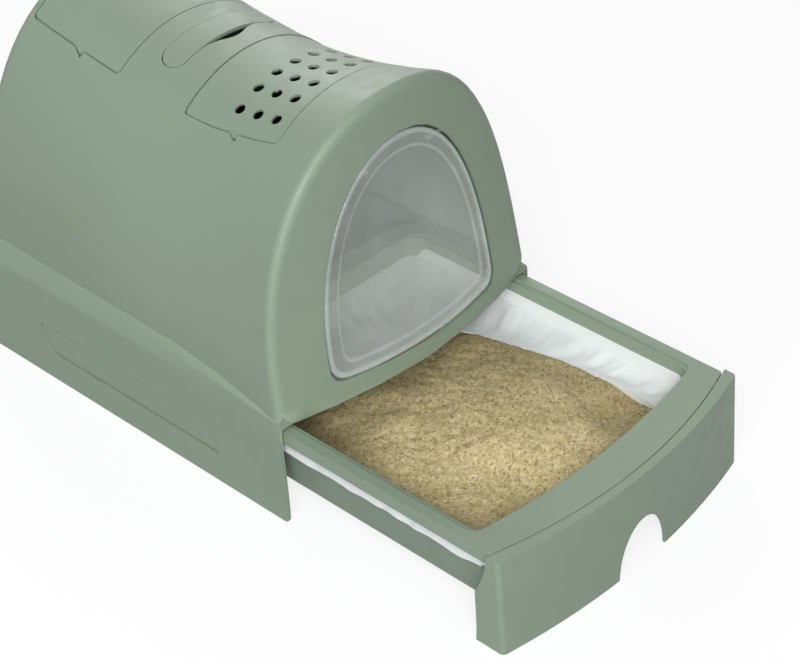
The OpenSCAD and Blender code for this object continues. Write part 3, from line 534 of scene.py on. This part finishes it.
# what the half width and the crest gain a swell's run away from the waist
SWELL_RUN, FRONT_GAIN, REAR_GAIN = 0.1, (0.0034667, 0.0087), (-0.00025, 0.0041)
WAIST_FULL, FULL_GAIN, FULL_RUN = 2.06, 0.24, 2.3
FACE_Y, FACE_BULGE, FACE_HALF, FACE_LEAN, FACE_CURL = -0.2324, 0.0237, 0.192, 0.28, 0.314


def arch_at(y):
    """Half width, crest height and fullness of the arch at y; 2 is the fullness of an ellipse."""
    run = (y - WAIST_Y) / SWELL_RUN
    wider, higher = FRONT_GAIN if y < WAIST_Y else REAR_GAIN
    return (ARCH_HALF + wider * run ** 2, CREST_Z + higher * run ** 2,
            WAIST_FULL + FULL_GAIN * min(1, abs(run) / FULL_RUN))


def face_at(x, z):
    """The place along Y of the face at x and z."""
    rise = z - MOUTH_Z
    bulge = FACE_BULGE * (1 - (x / FACE_HALF) ** 2)
    return FACE_Y - bulge + FACE_LEAN * rise - FACE_CURL * rise ** 2


print("arch at its waist:", arch_at(WAIST_Y), "face over the mouth:", face_at(0, MOUTH_Z))

# %% [markdown]
# ### Its normals
#
# A formula that is below 0 inside a surface and above 0 outside it rises fastest straight out
# of the surface, so its slope is the normal. Where two surfaces meet in a round edge, the
# normal turns evenly from the one to the other. On the sharp crease between the arch and the
# ledge, a point has two normals, and each face there takes the one that is nearer its own.

# %% The outside's normals
LEDGE_FOOT_Z, LEDGE_RISE, LEDGE_WIDTH = 0.118, 0.015, 0.016
LEDGE_NORMAL = Vector((LEDGE_RISE, 0, LEDGE_WIDTH)).normalized()
# how far off a surface a point on it may lie, strictly and loosely
ON_SURFACE, MARGIN = 0.0004, 0.001
# how far in from the arch, and back from the face, the outside still reaches
EDGE_REACH, BEHIND_FACE = 0.0125, 0.004


def arch_level(point):
    """Below 0 inside the arch and above 0 outside it, in about metres."""
    half, crest, full = arch_at(point.y)
    x, z = abs(point.x) / half, max(0, point.z - LEDGE_Z) / (crest - LEDGE_Z)
    return ((x ** full + z ** full) ** (1 / full) - 1) * half


def slope_of(level, point, step=0.0002):
    """The direction in which a level rises fastest."""
    sides = [Vector((step, 0, 0)), Vector((0, step, 0)), Vector((0, 0, step))]
    rise = Vector([level(point + side) - level(point - side) for side in sides])
    return rise.normalized()


def face_level(point):
    """How far a point stands in front of the face."""
    return face_at(point.x, point.z) - point.y


def ledge_level(point):
    """How high a point lies over the sloping ledge on its side."""
    slope = LEDGE_RISE / LEDGE_WIDTH
    return point.z - LEDGE_FOOT_Z - (HALF_WIDTH - abs(point.x)) * slope


def outer_normals(point):
    """The hood's normals at a point: none off its outside, two on the crease over the ledge."""
    inside, behind = -arch_level(point), -face_level(point)
    if inside > EDGE_REACH and behind > BEHIND_FACE and point.y < REAR_Y - MARGIN:
        return []
    arch = slope_of(arch_level, point)
    turn = point.y - (REAR_Y - REAR_ROUND)
    if turn > 0:
        lean = min(1, turn / REAR_ROUND)
        return [(arch * math.sqrt(1 - lean ** 2) + Vector((0, lean, 0))).normalized()]
    if abs(inside) < ON_SURFACE and abs(ledge_level(point)) < ON_SURFACE:
        return [arch, Vector((math.copysign(LEDGE_NORMAL.x, point.x), 0, LEDGE_NORMAL.z))]
    if abs(inside) < ON_SURFACE and behind > RIM_ROUND * 0.9:
        return [arch]
    if behind < EDGE_REACH and inside > -MARGIN:
        face = slope_of(face_level, point)
        one, two = math.sqrt(max(0, behind)), math.sqrt(max(0, inside))
        share = one / max(1e-6, one + two)
        return [face.lerp(arch, share).normalized()]
    return []


def shade_by_formula(piece, normals_at, most_turn=38):
    """Gives each outside corner the formula's normal and keeps the others as they are."""
    mesh = piece.data
    normals = [Vector(corner.vector) for corner in mesh.corner_normals]
    known, changed = {}, 0
    for face in mesh.polygons:
        for vertex in face.vertices:
            if vertex not in known:
                known[vertex] = normals_at(mesh.vertices[vertex].co)
        all_known = all(known[vertex] for vertex in face.vertices)
        for loop, vertex in zip(face.loop_indices, face.vertices):
            nearest = min(known[vertex], key=lambda one: face.normal.angle(one, 3), default=None)
            if nearest and (all_known or face.normal.angle(nearest, 3) < math.radians(most_turn)):
                normals[loop] = nearest
                changed += 1
    mesh.normals_split_custom_set(normals)
    print(piece.name, "corners shaded by the formula:", changed, "of", len(normals))


print("a normal on the face:", outer_normals(Vector((0, face_at(0, LEDGE_Z), LEDGE_Z))))

# %% [markdown]
# ### The groove round the finger recess
#
# A fine groove runs round the shallow recess in each side of the skirt. It is a narrow closed
# band along the recess's outline, cut out of the hood with a Boolean modifier.

# %% The band along the recess's outline
RECESS_REAR_Y, RECESS_FRONT_Y, RECESS_FOOT_Z, RECESS_TOP_Z = 0.137, -0.139, 0.036, 0.069
TURN_RUN, TURN_RISE, TURN_STEPS = 0.027, 0.033, 12


def recess_outline():
    """The recess in (y, z); its lower rear and upper front corners are quarter turns."""
    points = []
    for y, z, first in ((RECESS_REAR_Y - TURN_RUN, RECESS_TOP_Z, 0),
                        (RECESS_FRONT_Y + TURN_RUN, RECESS_FOOT_Z, 180)):
        for i in range(TURN_STEPS + 1):
            angle = math.radians(first - 90 * i / TURN_STEPS)
            points.append(Vector((y + TURN_RUN * math.cos(angle),
                                  z + TURN_RISE * math.sin(angle))))
    return points


def cut_groove(piece, side, half_width=0.75 * MM, deep=2.6 * MM):
    """Cuts the groove into one side of a piece, -1 on the left and 1 on the right."""
    outline = recess_outline()
    rings = []
    for before, point, after in zip(outline[-1:] + outline[:-1], outline,
                                    outline[1:] + outline[:1]):
        one, two = (point - before).normalized(), (after - point).normalized()
        across = Vector((-(one + two).y, (one + two).x)).normalized() * half_width
        inner, outer = point - across, point + across
        near, far = side * (HALF_WIDTH + 1 * MM), side * (HALF_WIDTH - deep)
        rings.append([(near, *inner), (near, *outer), (far, *outer), (far, *inner)])
    band = lofted("groove_cutter", rings + [rings[0]])
    select_only(band)
    bpy.ops.object.mode_set(mode="EDIT")
    bpy.ops.mesh.select_all(action="SELECT")
    bpy.ops.mesh.remove_doubles(threshold=0.01 * MM)
    bpy.ops.object.mode_set(mode="OBJECT")
    facing_out(band)
    cut = piece.modifiers.new("groove", "BOOLEAN")
    cut.object = band
    cut.solver = "EXACT"
    apply_all(piece)
    bpy.data.objects.remove(band)


print("points round the recess:", len(recess_outline()))

# %% [markdown]
# ### The hood, the lids and the strap
#
# These four show the lofted surface, so their normals come from the formula. They get no
# bevel: the seams leave small faces that a bevel would fold over, and the Bevel node in the
# plastic rounds their edges instead. The wells under them are plain copies in a darker sage,
# which is painted shade for those hollows, and the door's bearings get a small bevel.

# %% The hood and what is moulded with it
hood = merged_copy("hood", "hood_shell")
for side in (-1, 1):
    cut_groove(hood, side)
smooth_below(hood, SMOOTH_ANGLE)
dressed(hood, sage_shell, "housing", "hood_shell")
filter_lid = moulded("filter_lid", "vented_lid", sage_shell)
store_lid = moulded("store_lid", "storage_lid", sage_shell)
strap = moulded("strap", "carry_strap", sage_shell)
for piece in (hood, filter_lid, store_lid, strap):
    shade_by_formula(piece, outer_normals)
# the wells and the strap's pocket get the darker sage, which is painted shade
moulded("lid_well", "filter_well", sage_inner)
moulded("store_bin", "storage_bin", sage_inner)
moulded("strap_pocket", "strap_well", sage_inner)
moulded("door_bearings", "flap_bearings", sage_shell, 0.4 * MM)

# %% [markdown]
# ### The drawer's hard pieces
#
# The tray, the front panel and the frame that clamps the bag are simpler mouldings, whose
# edges are far enough apart for a Bevel modifier. A hand takes hold of the frame and of the
# panel, so their edges are the roundest.

# %% The drawer's hard pieces
moulded("tray", "drawer_tray", sage_tray, 0.6 * MM)
moulded("front_panel", "drawer_front", sage_shell, 0.8 * MM, segments=3)
moulded("frame_rim", "litter_frame", sage_shell, 1.0 * MM, segments=3)

# %% [markdown]
# ### The pieces that don't show at first
#
# The base pan, the carbon pad and the screws come into view when the box is turned over or a
# lid is lifted, so they are finished like the others, each in its own material. The base pan's
# sage is darker still, which is painted shade, so that it sinks into the shadow under the hood.

# %% The pieces that don't show at first
# the base pan's darker sage is painted shade
moulded("base_plate", "base_pan", dark_base, 0.5 * MM)
moulded("carbon_pad", "carbon_filter", carbon_felt, 1.5 * MM, segments=3)
moulded("base_screw_set", "base_screws", screw_zinc, 0.3 * MM)
moulded("panel_screw_set", "panel_screws", screw_zinc, 0.3 * MM)

# %% [markdown]
# ## The clear door
#
# The door is one moulded sheet, bent like the face, with a thick round rim, a fine step
# inside it and a pin at each shoulder. Its outline is a formula too, so it is lofted: the
# outline is scaled towards the middle ring by ring, and each ring is laid at its own depth
# behind the face. That gives one even skin with no seam, which a reflection needs.

# %% A curve between two points


def curve_between(start, control, end, share):
    """A place on the round corner from start to end that bends towards control."""
    one = start.lerp(control, share)
    return one.lerp(control.lerp(end, share), share)


# %% The door's outline
DOOR_HALF, DOOR_FOOT_Z, DOOR_TOP_Z, DOOR_SPRING_Z = 0.128, 0.1323, 0.3623, 0.1553
DOOR_FOOT_HALF, DOOR_FOOT_RISE, DOOR_FULL = 0.107, 0.0046, 2.08
DOOR_MIDDLE_Z = DOOR_FOOT_Z + 0.45 * (DOOR_TOP_Z - DOOR_FOOT_Z)


def door_outline(steps=90, corner=10, foot=30):
    """The outline as (x, z) from the left spring over the top and along the foot."""
    points = []
    for i in range(steps + 1):
        turn = math.pi * (1 - i / steps)
        across, rise = math.cos(turn), math.sin(turn)
        points.append(Vector((
            math.copysign(DOOR_HALF * abs(across) ** (2 / DOOR_FULL), across),
            DOOR_SPRING_Z + (DOOR_TOP_Z - DOOR_SPRING_Z) * abs(rise) ** (2 / DOOR_FULL))))
    start = Vector((DOOR_HALF, DOOR_SPRING_Z))
    control = Vector((DOOR_HALF - 0.0005, DOOR_FOOT_Z + 0.0055))
    end = Vector((DOOR_FOOT_HALF, DOOR_FOOT_Z + DOOR_FOOT_RISE))
    right = [curve_between(start, control, end, i / corner) for i in range(1, corner + 1)]
    points += right
    for i in range(1, foot):
        x = DOOR_FOOT_HALF * (1 - 2 * i / foot)
        points.append(Vector((x, DOOR_FOOT_Z + DOOR_FOOT_RISE * (x / DOOR_FOOT_HALF) ** 2)))
    return points + [Vector((-point.x, point.y)) for point in reversed(right)]


print("door outline:", len(door_outline()), "points")

# %% The door's rings
DOOR_TRIM = 0.9955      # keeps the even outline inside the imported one, which has corners


def door_ring(scale, depth):
    """The outline at a scale, laid at a depth behind the face."""
    ring = []
    scale *= DOOR_TRIM
    for point in door_outline():
        x, z = point.x * scale, DOOR_MIDDLE_Z + (point.y - DOOR_MIDDLE_Z) * scale
        ring.append((x, face_at(x, z) + depth, z))
    return ring


# scale towards the middle and depth behind the face, in mm: in over the front, out over the back
FRONT = [(0.2, 2.0), (0.4, 2.0), (0.6, 2.0), (0.75, 2.0), (0.845, 2.0), (0.856, 1.7),
         (0.866, 1.1), (0.876, 0.9), (0.886, 1.1), (0.93, 1.2), (0.950, 1.2), (0.958, 0.8),
         (0.966, 0.15), (0.976, -0.2), (0.986, -0.25), (0.995, 0.3), (1, 1.4)]
BACK = [(1, 3.8), (0.996, 4.6), (0.988, 5.0), (0.976, 5.0), (0.966, 4.7), (0.956, 3.7),
        (0.95, 3.6), (0.886, 3.6), (0.866, 4.1), (0.856, 4.4), (0.75, 4.4), (0.5, 4.4), (0.2, 4.4)]
rings = [door_ring(scale, depth * MM) for scale, depth in FRONT + BACK]
middle = face_at(0, DOOR_MIDDLE_Z)
door = lofted("door", rings, [(0, middle + 2.0 * MM, DOOR_MIDDLE_Z),
                              (0, middle + 4.4 * MM, DOOR_MIDDLE_Z)])
print("door rings:", len(rings))

# %% The door's pins
DOOR_AXIS = (-0.202451, 0.3373)
# inner end, outer end and radius of the lug on the rim and of the pin that it carries
LUG, PIN = (0.046, 0.054, 3.2 * MM), (0.053, 0.0738, 1.55 * MM)
for side in (-1, 1):
    for inner, outer, radius in (LUG, PIN):
        bpy.ops.object.select_all(action="DESELECT")
        bpy.ops.mesh.primitive_cylinder_add(
            vertices=32, radius=radius, depth=outer - inner,
            location=(side * (inner + outer) / 2, *DOOR_AXIS), rotation=(0, math.pi / 2, 0))
        pin = bpy.context.active_object
        bpy.ops.object.transform_apply(location=True, rotation=True, scale=True)
        bevelled(pin, 0.3 * MM)
        select_only(door)
        pin.select_set(True)
        bpy.ops.object.join()
DOOR_SMOOTH = 42
smooth_below(door, DOOR_SMOOTH)
dressed(door, clear_door, "door", "door_flap")
print("door faces:", len(door.data.polygons))

# %% The denser rim, and the step's painted highlight
RIM_FROM, STEP_FROM, STEP_TO = 0.954, 0.85, 0.88      # scales of the outline
door.data.materials.append(clear_rim_and_highlight)
profile = FRONT + BACK
around = len(door_outline())
for number, face in enumerate(door.data.polygons[:around * (len(profile) - 1)]):
    row = number // around
    scale = (profile[row][0] + profile[row + 1][0]) / 2
    # the step's ring gets the whiter finish as a painted highlight line
    if scale > RIM_FROM or (STEP_FROM < scale < STEP_TO and row < len(FRONT)):
        face.material_index = 1
print("faces in the rim's finish:", sum(face.material_index for face in door.data.polygons))

# %% [markdown]
# ## The litter
#
# The litter is thousands of loose granules poured into a heap. Modelling each grain would
# cost millions of faces, so it is one solid whose surface is fine enough to carry the grain:
# its outline is drawn once, a voxel remesh gives it even small faces, and a formula for the
# heap with three layers of noise lifts the top. The finish gives each grain its own colour.

# %% The tray's outline
SEAM_SAG, TRAY_FRONT_Y, TRAY_REAR_Y = 0.029, -0.487, -0.063
RIM_HALF, RIM_Z, TRAY_Z, TAPER = 0.182, 0.1044, 0.027, 0.018
REAR_CORNER, FRONT_CORNER = 0.024, 0.012


def plan_loop(half, front, rear, corner, front_corner):
    """A drawer outline: an arc in front, straight sides and round corners."""
    def arc(x):
        return front - SEAM_SAG * (1 - (x / HALF_WIDTH) ** 2)

    span = half - front_corner
    loop = [Vector((span * (i / 20 - 1), arc(span * (i / 20 - 1)))) for i in range(41)]
    turn = [curve_between(Vector((span, arc(span))), Vector((half, arc(half))),
                          Vector((half, arc(half) + front_corner)), i / 5) for i in range(1, 6)]
    loop += turn
    for middle_x, quarter in ((half - corner, 0), (corner - half, 1)):
        for i in range(9):
            angle = math.pi / 2 * (quarter + i / 8)
            loop.append(Vector((middle_x + corner * math.cos(angle),
                                rear - corner + corner * math.sin(angle))))
    return loop + [Vector((-point.x, point.y)) for point in reversed(turn)]


def wall_loop(z, inside):
    """The tray at height z, a distance inside its outer face."""
    half = RIM_HALF - TAPER * (RIM_Z - z) / (RIM_Z - TRAY_Z)
    out = RIM_HALF - half
    return plan_loop(half - inside, TRAY_FRONT_Y + inside + out, TRAY_REAR_Y - inside - out,
                     REAR_CORNER - inside, FRONT_CORNER - inside / 2)


print("tray outline:", len(wall_loop(RIM_Z, 0)), "points")

# %% The litter's own outline


def litter_limit():
    """The outline that keeps the litter off the slack side of the bag."""
    left, front, bend, rear = -0.25, -0.516, -0.396, -0.128
    far, lean = 0.140, 0.140 - 0.14 * (rear - bend)
    loop = [Vector((left, front))]
    loop += [curve_between(Vector((0.080, front)), Vector((far, front)), Vector((far, bend)),
                           i / 12) for i in range(13)]
    loop += [curve_between(Vector((far, bend)), Vector((lean, rear)), Vector((0.020, rear)),
                           i / 16) for i in range(1, 17)]
    return loop + [Vector((left, rear))]


print("litter outline:", len(litter_limit()), "points")

# %% [markdown]
# ### Spokes
#
# The litter and the bag are lofted, so all their rings need equally many points, each under
# the one above. Rays from one point in the litter give that: every ring has its points on the
# same spokes, and only how far out they lie changes.

# %% Spokes from the heart of the litter
HEART, SPOKES = Vector((-0.03, -0.30)), 420


def reach(loop, direction):
    """How far a ray from the heart of the litter goes before it meets a closed loop."""
    best = math.inf
    for start, end in zip(loop, loop[1:] + loop[:1]):
        edge, gap = end - start, start - HEART
        cross = direction.x * edge.y - direction.y * edge.x
        if abs(cross) > 1e-12:
            along_ray = (gap.x * edge.y - gap.y * edge.x) / cross
            along_edge = (gap.x * direction.y - gap.y * direction.x) / cross
            if along_ray > 0 and -1e-6 <= along_edge <= 1 + 1e-6:
                best = min(best, along_ray)
    return best


spokes = []
rim = wall_loop(RIM_Z, 0)
lengths = [(end - start).length for start, end in zip(rim, rim[1:] + rim[:1])]
total, place, index = sum(lengths), 0.0, 0
for k in range(SPOKES):
    target = total * k / SPOKES
    while place + lengths[index] < target:
        place += lengths[index]
        index += 1
    point = rim[index].lerp(rim[(index + 1) % len(rim)], (target - place) / lengths[index])
    spokes.append((point - HEART).normalized())
print("outline:", round(total, 3), "m round, spokes:", len(spokes))

# %% Rings on the spokes


def spoke_ring(reaches, heights):
    """A ring with its own reach and height on each spoke."""
    return [(HEART.x + spoke.x * far, HEART.y + spoke.y * far, z)
            for spoke, far, z in zip(spokes, reaches, heights)]


def level_ring(reaches, z):
    """A ring at one height."""
    return spoke_ring(reaches, [z] * SPOKES)


def wall_ring(z, inside):
    """How far the tray's wall is on each spoke, at height z and a distance inside its face."""
    return [reach(wall_loop(z, inside), spoke) for spoke in spokes]


LITTER_TOP, LITTER_FLOOR, LITTER_IN = 0.077, 0.0317, 0.0048
limit = [reach(litter_limit(), spoke) for spoke in spokes]
top_reach = [min(own, wall) for own, wall in zip(limit, wall_ring(LITTER_TOP, LITTER_IN))]
low_reach = [min(own, wall) for own, wall in zip(limit, wall_ring(LITTER_FLOOR, LITTER_IN))]
print("litter reaches from", round(min(top_reach), 3), "to", round(max(top_reach), 3), "m")

# %% The litter's heap
# middle x, middle y, size and rise of each swell or hollow
SWELLS = [(0.000, -0.370, 0.082, 0.0145), (0.068, -0.362, 0.027, 0.0070),
          (-0.022, -0.392, 0.036, 0.0035), (-0.115, -0.320, 0.055, 0.0030),
          (0.110, -0.420, 0.042, -0.0165), (-0.070, -0.462, 0.055, -0.0110),
          (0.040, -0.210, 0.070, -0.0085), (-0.130, -0.215, 0.055, -0.0110)]
WAVE, WAVE_SCALE = 0.0032, 24
SIDE_CLEAR, SIDE_FADE = 0.008, 0.02


def heap(x, y):
    """Height of the heap over the litter's level, without its grain."""
    height = sum(rise * math.exp(-((x - cx) ** 2 + (y - cy) ** 2) / size ** 2)
                 for cx, cy, size, rise in SWELLS)
    return height + WAVE * noise.noise(Vector((x, y, 0)) * WAVE_SCALE)


def poured(x, y):
    """The heap with its grain; it stays low at the sides, under the frame."""
    spot = Vector((x, y, 0))
    inner = min(1, max(0, (RIM_HALF - SIDE_CLEAR - abs(x)) / SIDE_FADE))
    lump = 0.0014 * noise.noise(spot * 95) + 0.0011 * noise.noise(spot * 330)
    return min(heap(x, y), 0.003 + 0.03 * inner) * (0.35 + 0.65 * inner) + lump


print("heap near its top:", round(LITTER_TOP + heap(0.04, -0.37), 4), "m")

# %% The litter
FIXED_Z = 0.066      # what lies lower doesn't move
voxel = 0.0025
litter = lofted("litter", [level_ring(low_reach, LITTER_FLOOR), level_ring(top_reach, LITTER_TOP)],
                [(HEART.x, HEART.y, LITTER_FLOOR), (HEART.x, HEART.y, LITTER_TOP)])
remesh = litter.modifiers.new("even_faces", "REMESH")
remesh.mode = "VOXEL"
remesh.voxel_size = voxel
apply_all(litter)
for vertex in litter.data.vertices:
    x, y, z = vertex.co
    share = max(0, (z - FIXED_Z) / (LITTER_TOP - FIXED_Z))
    vertex.co.z += share * poured(x, y)
select_only(litter)
bpy.ops.object.shade_smooth()
dressed(litter, litter_grain, "drawer", "litter_bed")
print("litter faces:", len(litter.data.polygons))

# %% [markdown]
# ## The bag
#
# The bag is a thin film bag, opened inside the tray and folded over its rim, where the frame
# clamps it. Its outer hem hangs below the frame in soft waves. Inside, it is slack on the far
# side and at the rear, where it slopes from the frame down to the litter in long folds. It
# is lofted ring by ring round the same spokes as the litter: hem, rim, wall, slack, and the
# floor under the litter. Folds come from noise that runs fast round the bag and slowly down
# it, and a Solidify modifier gives the film its thickness.

# %% The hem outside the frame
HEM_ROWS, HEM_FOOT_Z, HEM_WAVE, HEM_TOP_Z = 5, 0.0802, 0.0034, 0.1030
HEM_SWELL, HEM_FOLD, HEM_OUT = 0.0060, 0.0026, 0.0012
PANEL_Y, PANEL_SLACK = -0.48, 0.25      # the front panel leaves the hem little room


def fold(k, row, pace, drift=0.25):
    """A fold's height: fast round the bag and slow from row to row."""
    turn = 2 * math.pi * k / SPOKES
    spot = Vector((math.cos(turn) * pace, math.sin(turn) * pace, row * drift))
    return noise.noise(spot)


rows = []
outside = wall_ring(RIM_Z, -HEM_OUT)
feet = [HEM_FOOT_Z + HEM_WAVE * max(-0.6, fold(k, 0, 7)) for k in range(SPOKES)]
loose = [PANEL_SLACK if HEART.y + spoke.y * far < PANEL_Y else 1
         for spoke, far in zip(spokes, outside)]
for step in range(HEM_ROWS):
    share = step / (HEM_ROWS - 1)
    heights = [foot + (HEM_TOP_Z - foot) * share for foot in feet]
    swell = [slack * (1 - share) * (HEM_SWELL + HEM_FOLD * fold(k, share, 12))
             for k, slack in enumerate(loose)]
    rows.append(spoke_ring([far + more for far, more in zip(outside, swell)], heights))
print("hem hangs down to", round(min(feet), 4), "m")

# %% Over the rim and down the wall
WALL_IN = 0.0036
for z, inside in ((0.1050, -0.0006), (0.1052, 0.0014), (0.1046, 0.0030)):
    rows.append(level_ring(wall_ring(RIM_Z, inside), z))
for z in (0.100, 0.094, 0.088, 0.083):
    rows.append(level_ring(wall_ring(z, WALL_IN), z))
print("rows down to the slack side:", len(rows))

# %% Where the slack side ends
COVER_Y = -0.196      # from the rear, the film lies over the litter up to here
top_wall = wall_ring(0.080, WALL_IN)
film_top = [far + 0.0012 for far in top_reach]
low_film = [far + 0.0010 for far in low_reach]
tip = [min(far, (COVER_Y - HEART.y) / spoke.y) if spoke.y > 0.05 else far
       for spoke, far in zip(spokes, film_top)]
print("widest slack:", round(max(wall - end for wall, end in zip(top_wall, tip)), 3), "m")

# %% The slack side, in long folds
SLACK_ROWS, SLACK_TOP_Z, SLACK_DROP, TIGHT_DROP = 10, 0.0815, 0.0070, 0.0085
TIGHT_GAP, SLACK_GROWS = 0.006, 0.03      # no folds in a tight gap, whole ones in a wide one
LONG_FOLD, FINE_FOLD, SAG = 0.0050, 0.0016, 0.004


def slack_point(k, share):
    """Reach and height on spoke k, a share of the way from the tray's wall to the tip."""
    gap = top_wall[k] - tip[k]
    far = top_wall[k] - gap * share
    slack = min(1, max(0, (gap - TIGHT_GAP) / SLACK_GROWS))
    crease = slack * math.sin(math.pi * min(1, share * 1.15)) * (
        LONG_FOLD * fold(k, share, 11) + FINE_FOLD * fold(k, share * 2, 38))
    sag = slack * SAG * math.sin(math.pi * share)
    height = SLACK_TOP_Z - SLACK_DROP * share - sag + crease
    if slack == 0:
        height = SLACK_TOP_Z - TIGHT_DROP * share
    if far < film_top[k]:
        under = LITTER_TOP + heap(HEART.x + spokes[k].x * far, HEART.y + spokes[k].y * far)
        height = max(height, under + 0.0022 + 0.0020 * (1 - share) + 0.3 * abs(crease))
    return far, height


for step in range(SLACK_ROWS + 1):
    reaches, heights = zip(*[slack_point(k, step / SLACK_ROWS) for k in range(SPOKES)])
    rows.append(spoke_ring(reaches, heights))
print("lowest slack row:", round(min(heights), 4), "m")

# %% Down the litter's side and under it
TUCK_Z, UNDER_Z = 0.0715, 0.0311
rows.append(level_ring([(one + two) / 2 + 0.0003 for one, two in zip(tip, film_top)], TUCK_Z))
for z in (0.070, 0.058, 0.045, 0.0345, 0.0312):
    share = min(1, (LITTER_TOP - z) / (LITTER_TOP - LITTER_FLOOR))
    rows.append(level_ring([top + (low - top) * share for top, low in zip(film_top, low_film)], z))
for scale in (0.85, 0.5, 0.15):
    rows.append(level_ring([far * scale for far in low_film], UNDER_Z))
print("bag rows:", len(rows), "of", SPOKES, "points")

# %% The bag
FILM = 0.0005
bag = lofted("bag", rows)
select_only(bag)
bpy.ops.object.mode_set(mode="EDIT")
bpy.ops.mesh.select_all(action="DESELECT")
bpy.ops.object.mode_set(mode="OBJECT")
for vertex in bag.data.vertices[-SPOKES:]:
    vertex.select = True
bpy.ops.object.mode_set(mode="EDIT")
bpy.ops.mesh.merge(type="CENTER")
bpy.ops.object.mode_set(mode="OBJECT")
facing_out(bag)
flat_area = sum(face.area for face in bag.data.polygons)
thick = bag.modifiers.new("film", "SOLIDIFY")
thick.thickness = FILM
thick.offset = 0
apply_all(bag)
BAG_SMOOTH = 60
smooth_below(bag, BAG_SMOOTH)
dressed(bag, liner_film, "drawer", "liner_bag")
print("bag faces:", len(bag.data.polygons), "film area:", round(flat_area, 4), "m2")

# %% [markdown]
# ## The studio
#
# The floor and the world look plain white. Light Path nodes show both as bright white to the
# camera and in reflections, without pouring that much light on the object. Soft area
# lamps then model the shape: one large key lamp above the left shoulder, a weak one overhead,
# and one behind on the right, which never reaches the front but lifts the sides away from it.

# %% Floor


def camera_white(tree):
    """1 for what the camera sees directly, in a mirror or through glass."""
    path = tree.nodes.new("ShaderNodeLightPath")
    either = add_math(tree, "MAXIMUM", path.outputs["Is Camera Ray"], path.outputs["Is Glossy Ray"])
    return add_math(tree, "MAXIMUM", either, path.outputs["Is Transmission Ray"])


def pale_floor(name, glow):
    """A floor that is grey to the lamps and looks white."""
    material, tree, shader = new_finish(name, 0.9, Base_Color=linear(135, 135, 137),
                                        Specular_IOR_Level=0.1)
    shader.inputs["Emission Color"].default_value = (1, 1, 1, 1)
    tree.links.new(add_range(tree, camera_white(tree), 0, glow, 0, 1),
                   shader.inputs["Emission Strength"])
    return material


FLOOR_SIZE, FLOOR_GLOW = 14, 0.8
bpy.ops.mesh.primitive_plane_add(size=FLOOR_SIZE, location=(0, 0, 0))
floor = bpy.context.active_object
floor.name = "floor"
floor.data.materials.append(pale_floor("floor_white", FLOOR_GLOW))
print("floor:", FLOOR_SIZE, "m wide")

# %% Lamps
LAMP_AIM = Vector((0, -0.15, 0.15))


def soft_lamp(name, place, size, power):
    """A square area lamp, aimed low at the middle of the object."""
    lamp = bpy.data.lights.new(name, "AREA")
    lamp.size = size
    lamp.energy = power
    holder = bpy.data.objects.new(name, lamp)
    scene.collection.objects.link(holder)
    holder.location = place
    aim = LAMP_AIM - Vector(place)
    holder.rotation_euler = aim.to_track_quat("-Z", "Y").to_euler()


soft_lamp("key", (-2.38, -1.99, 2.15), 2.4, 132)
soft_lamp("top", (-0.9, 0.8, 3.4), 2.6, 8)
soft_lamp("back", (2.2, 2.6, 2.0), 2.6, 62)
print("lamps:", [lamp.name for lamp in bpy.data.lights])

# %% World
WORLD_LIGHT = 0.05
world = bpy.data.worlds.new("studio")
scene.world = world
world.use_nodes = True
world_tree = world.node_tree
backdrop = world_tree.nodes["Background"]
backdrop.inputs["Color"].default_value = (1, 1, 1, 1)
strength = add_range(world_tree, camera_white(world_tree), WORLD_LIGHT, 1, 0, 1)
world_tree.links.new(strength, backdrop.inputs["Strength"])
scene.view_settings.view_transform = "Standard"
print("world light:", WORLD_LIGHT)
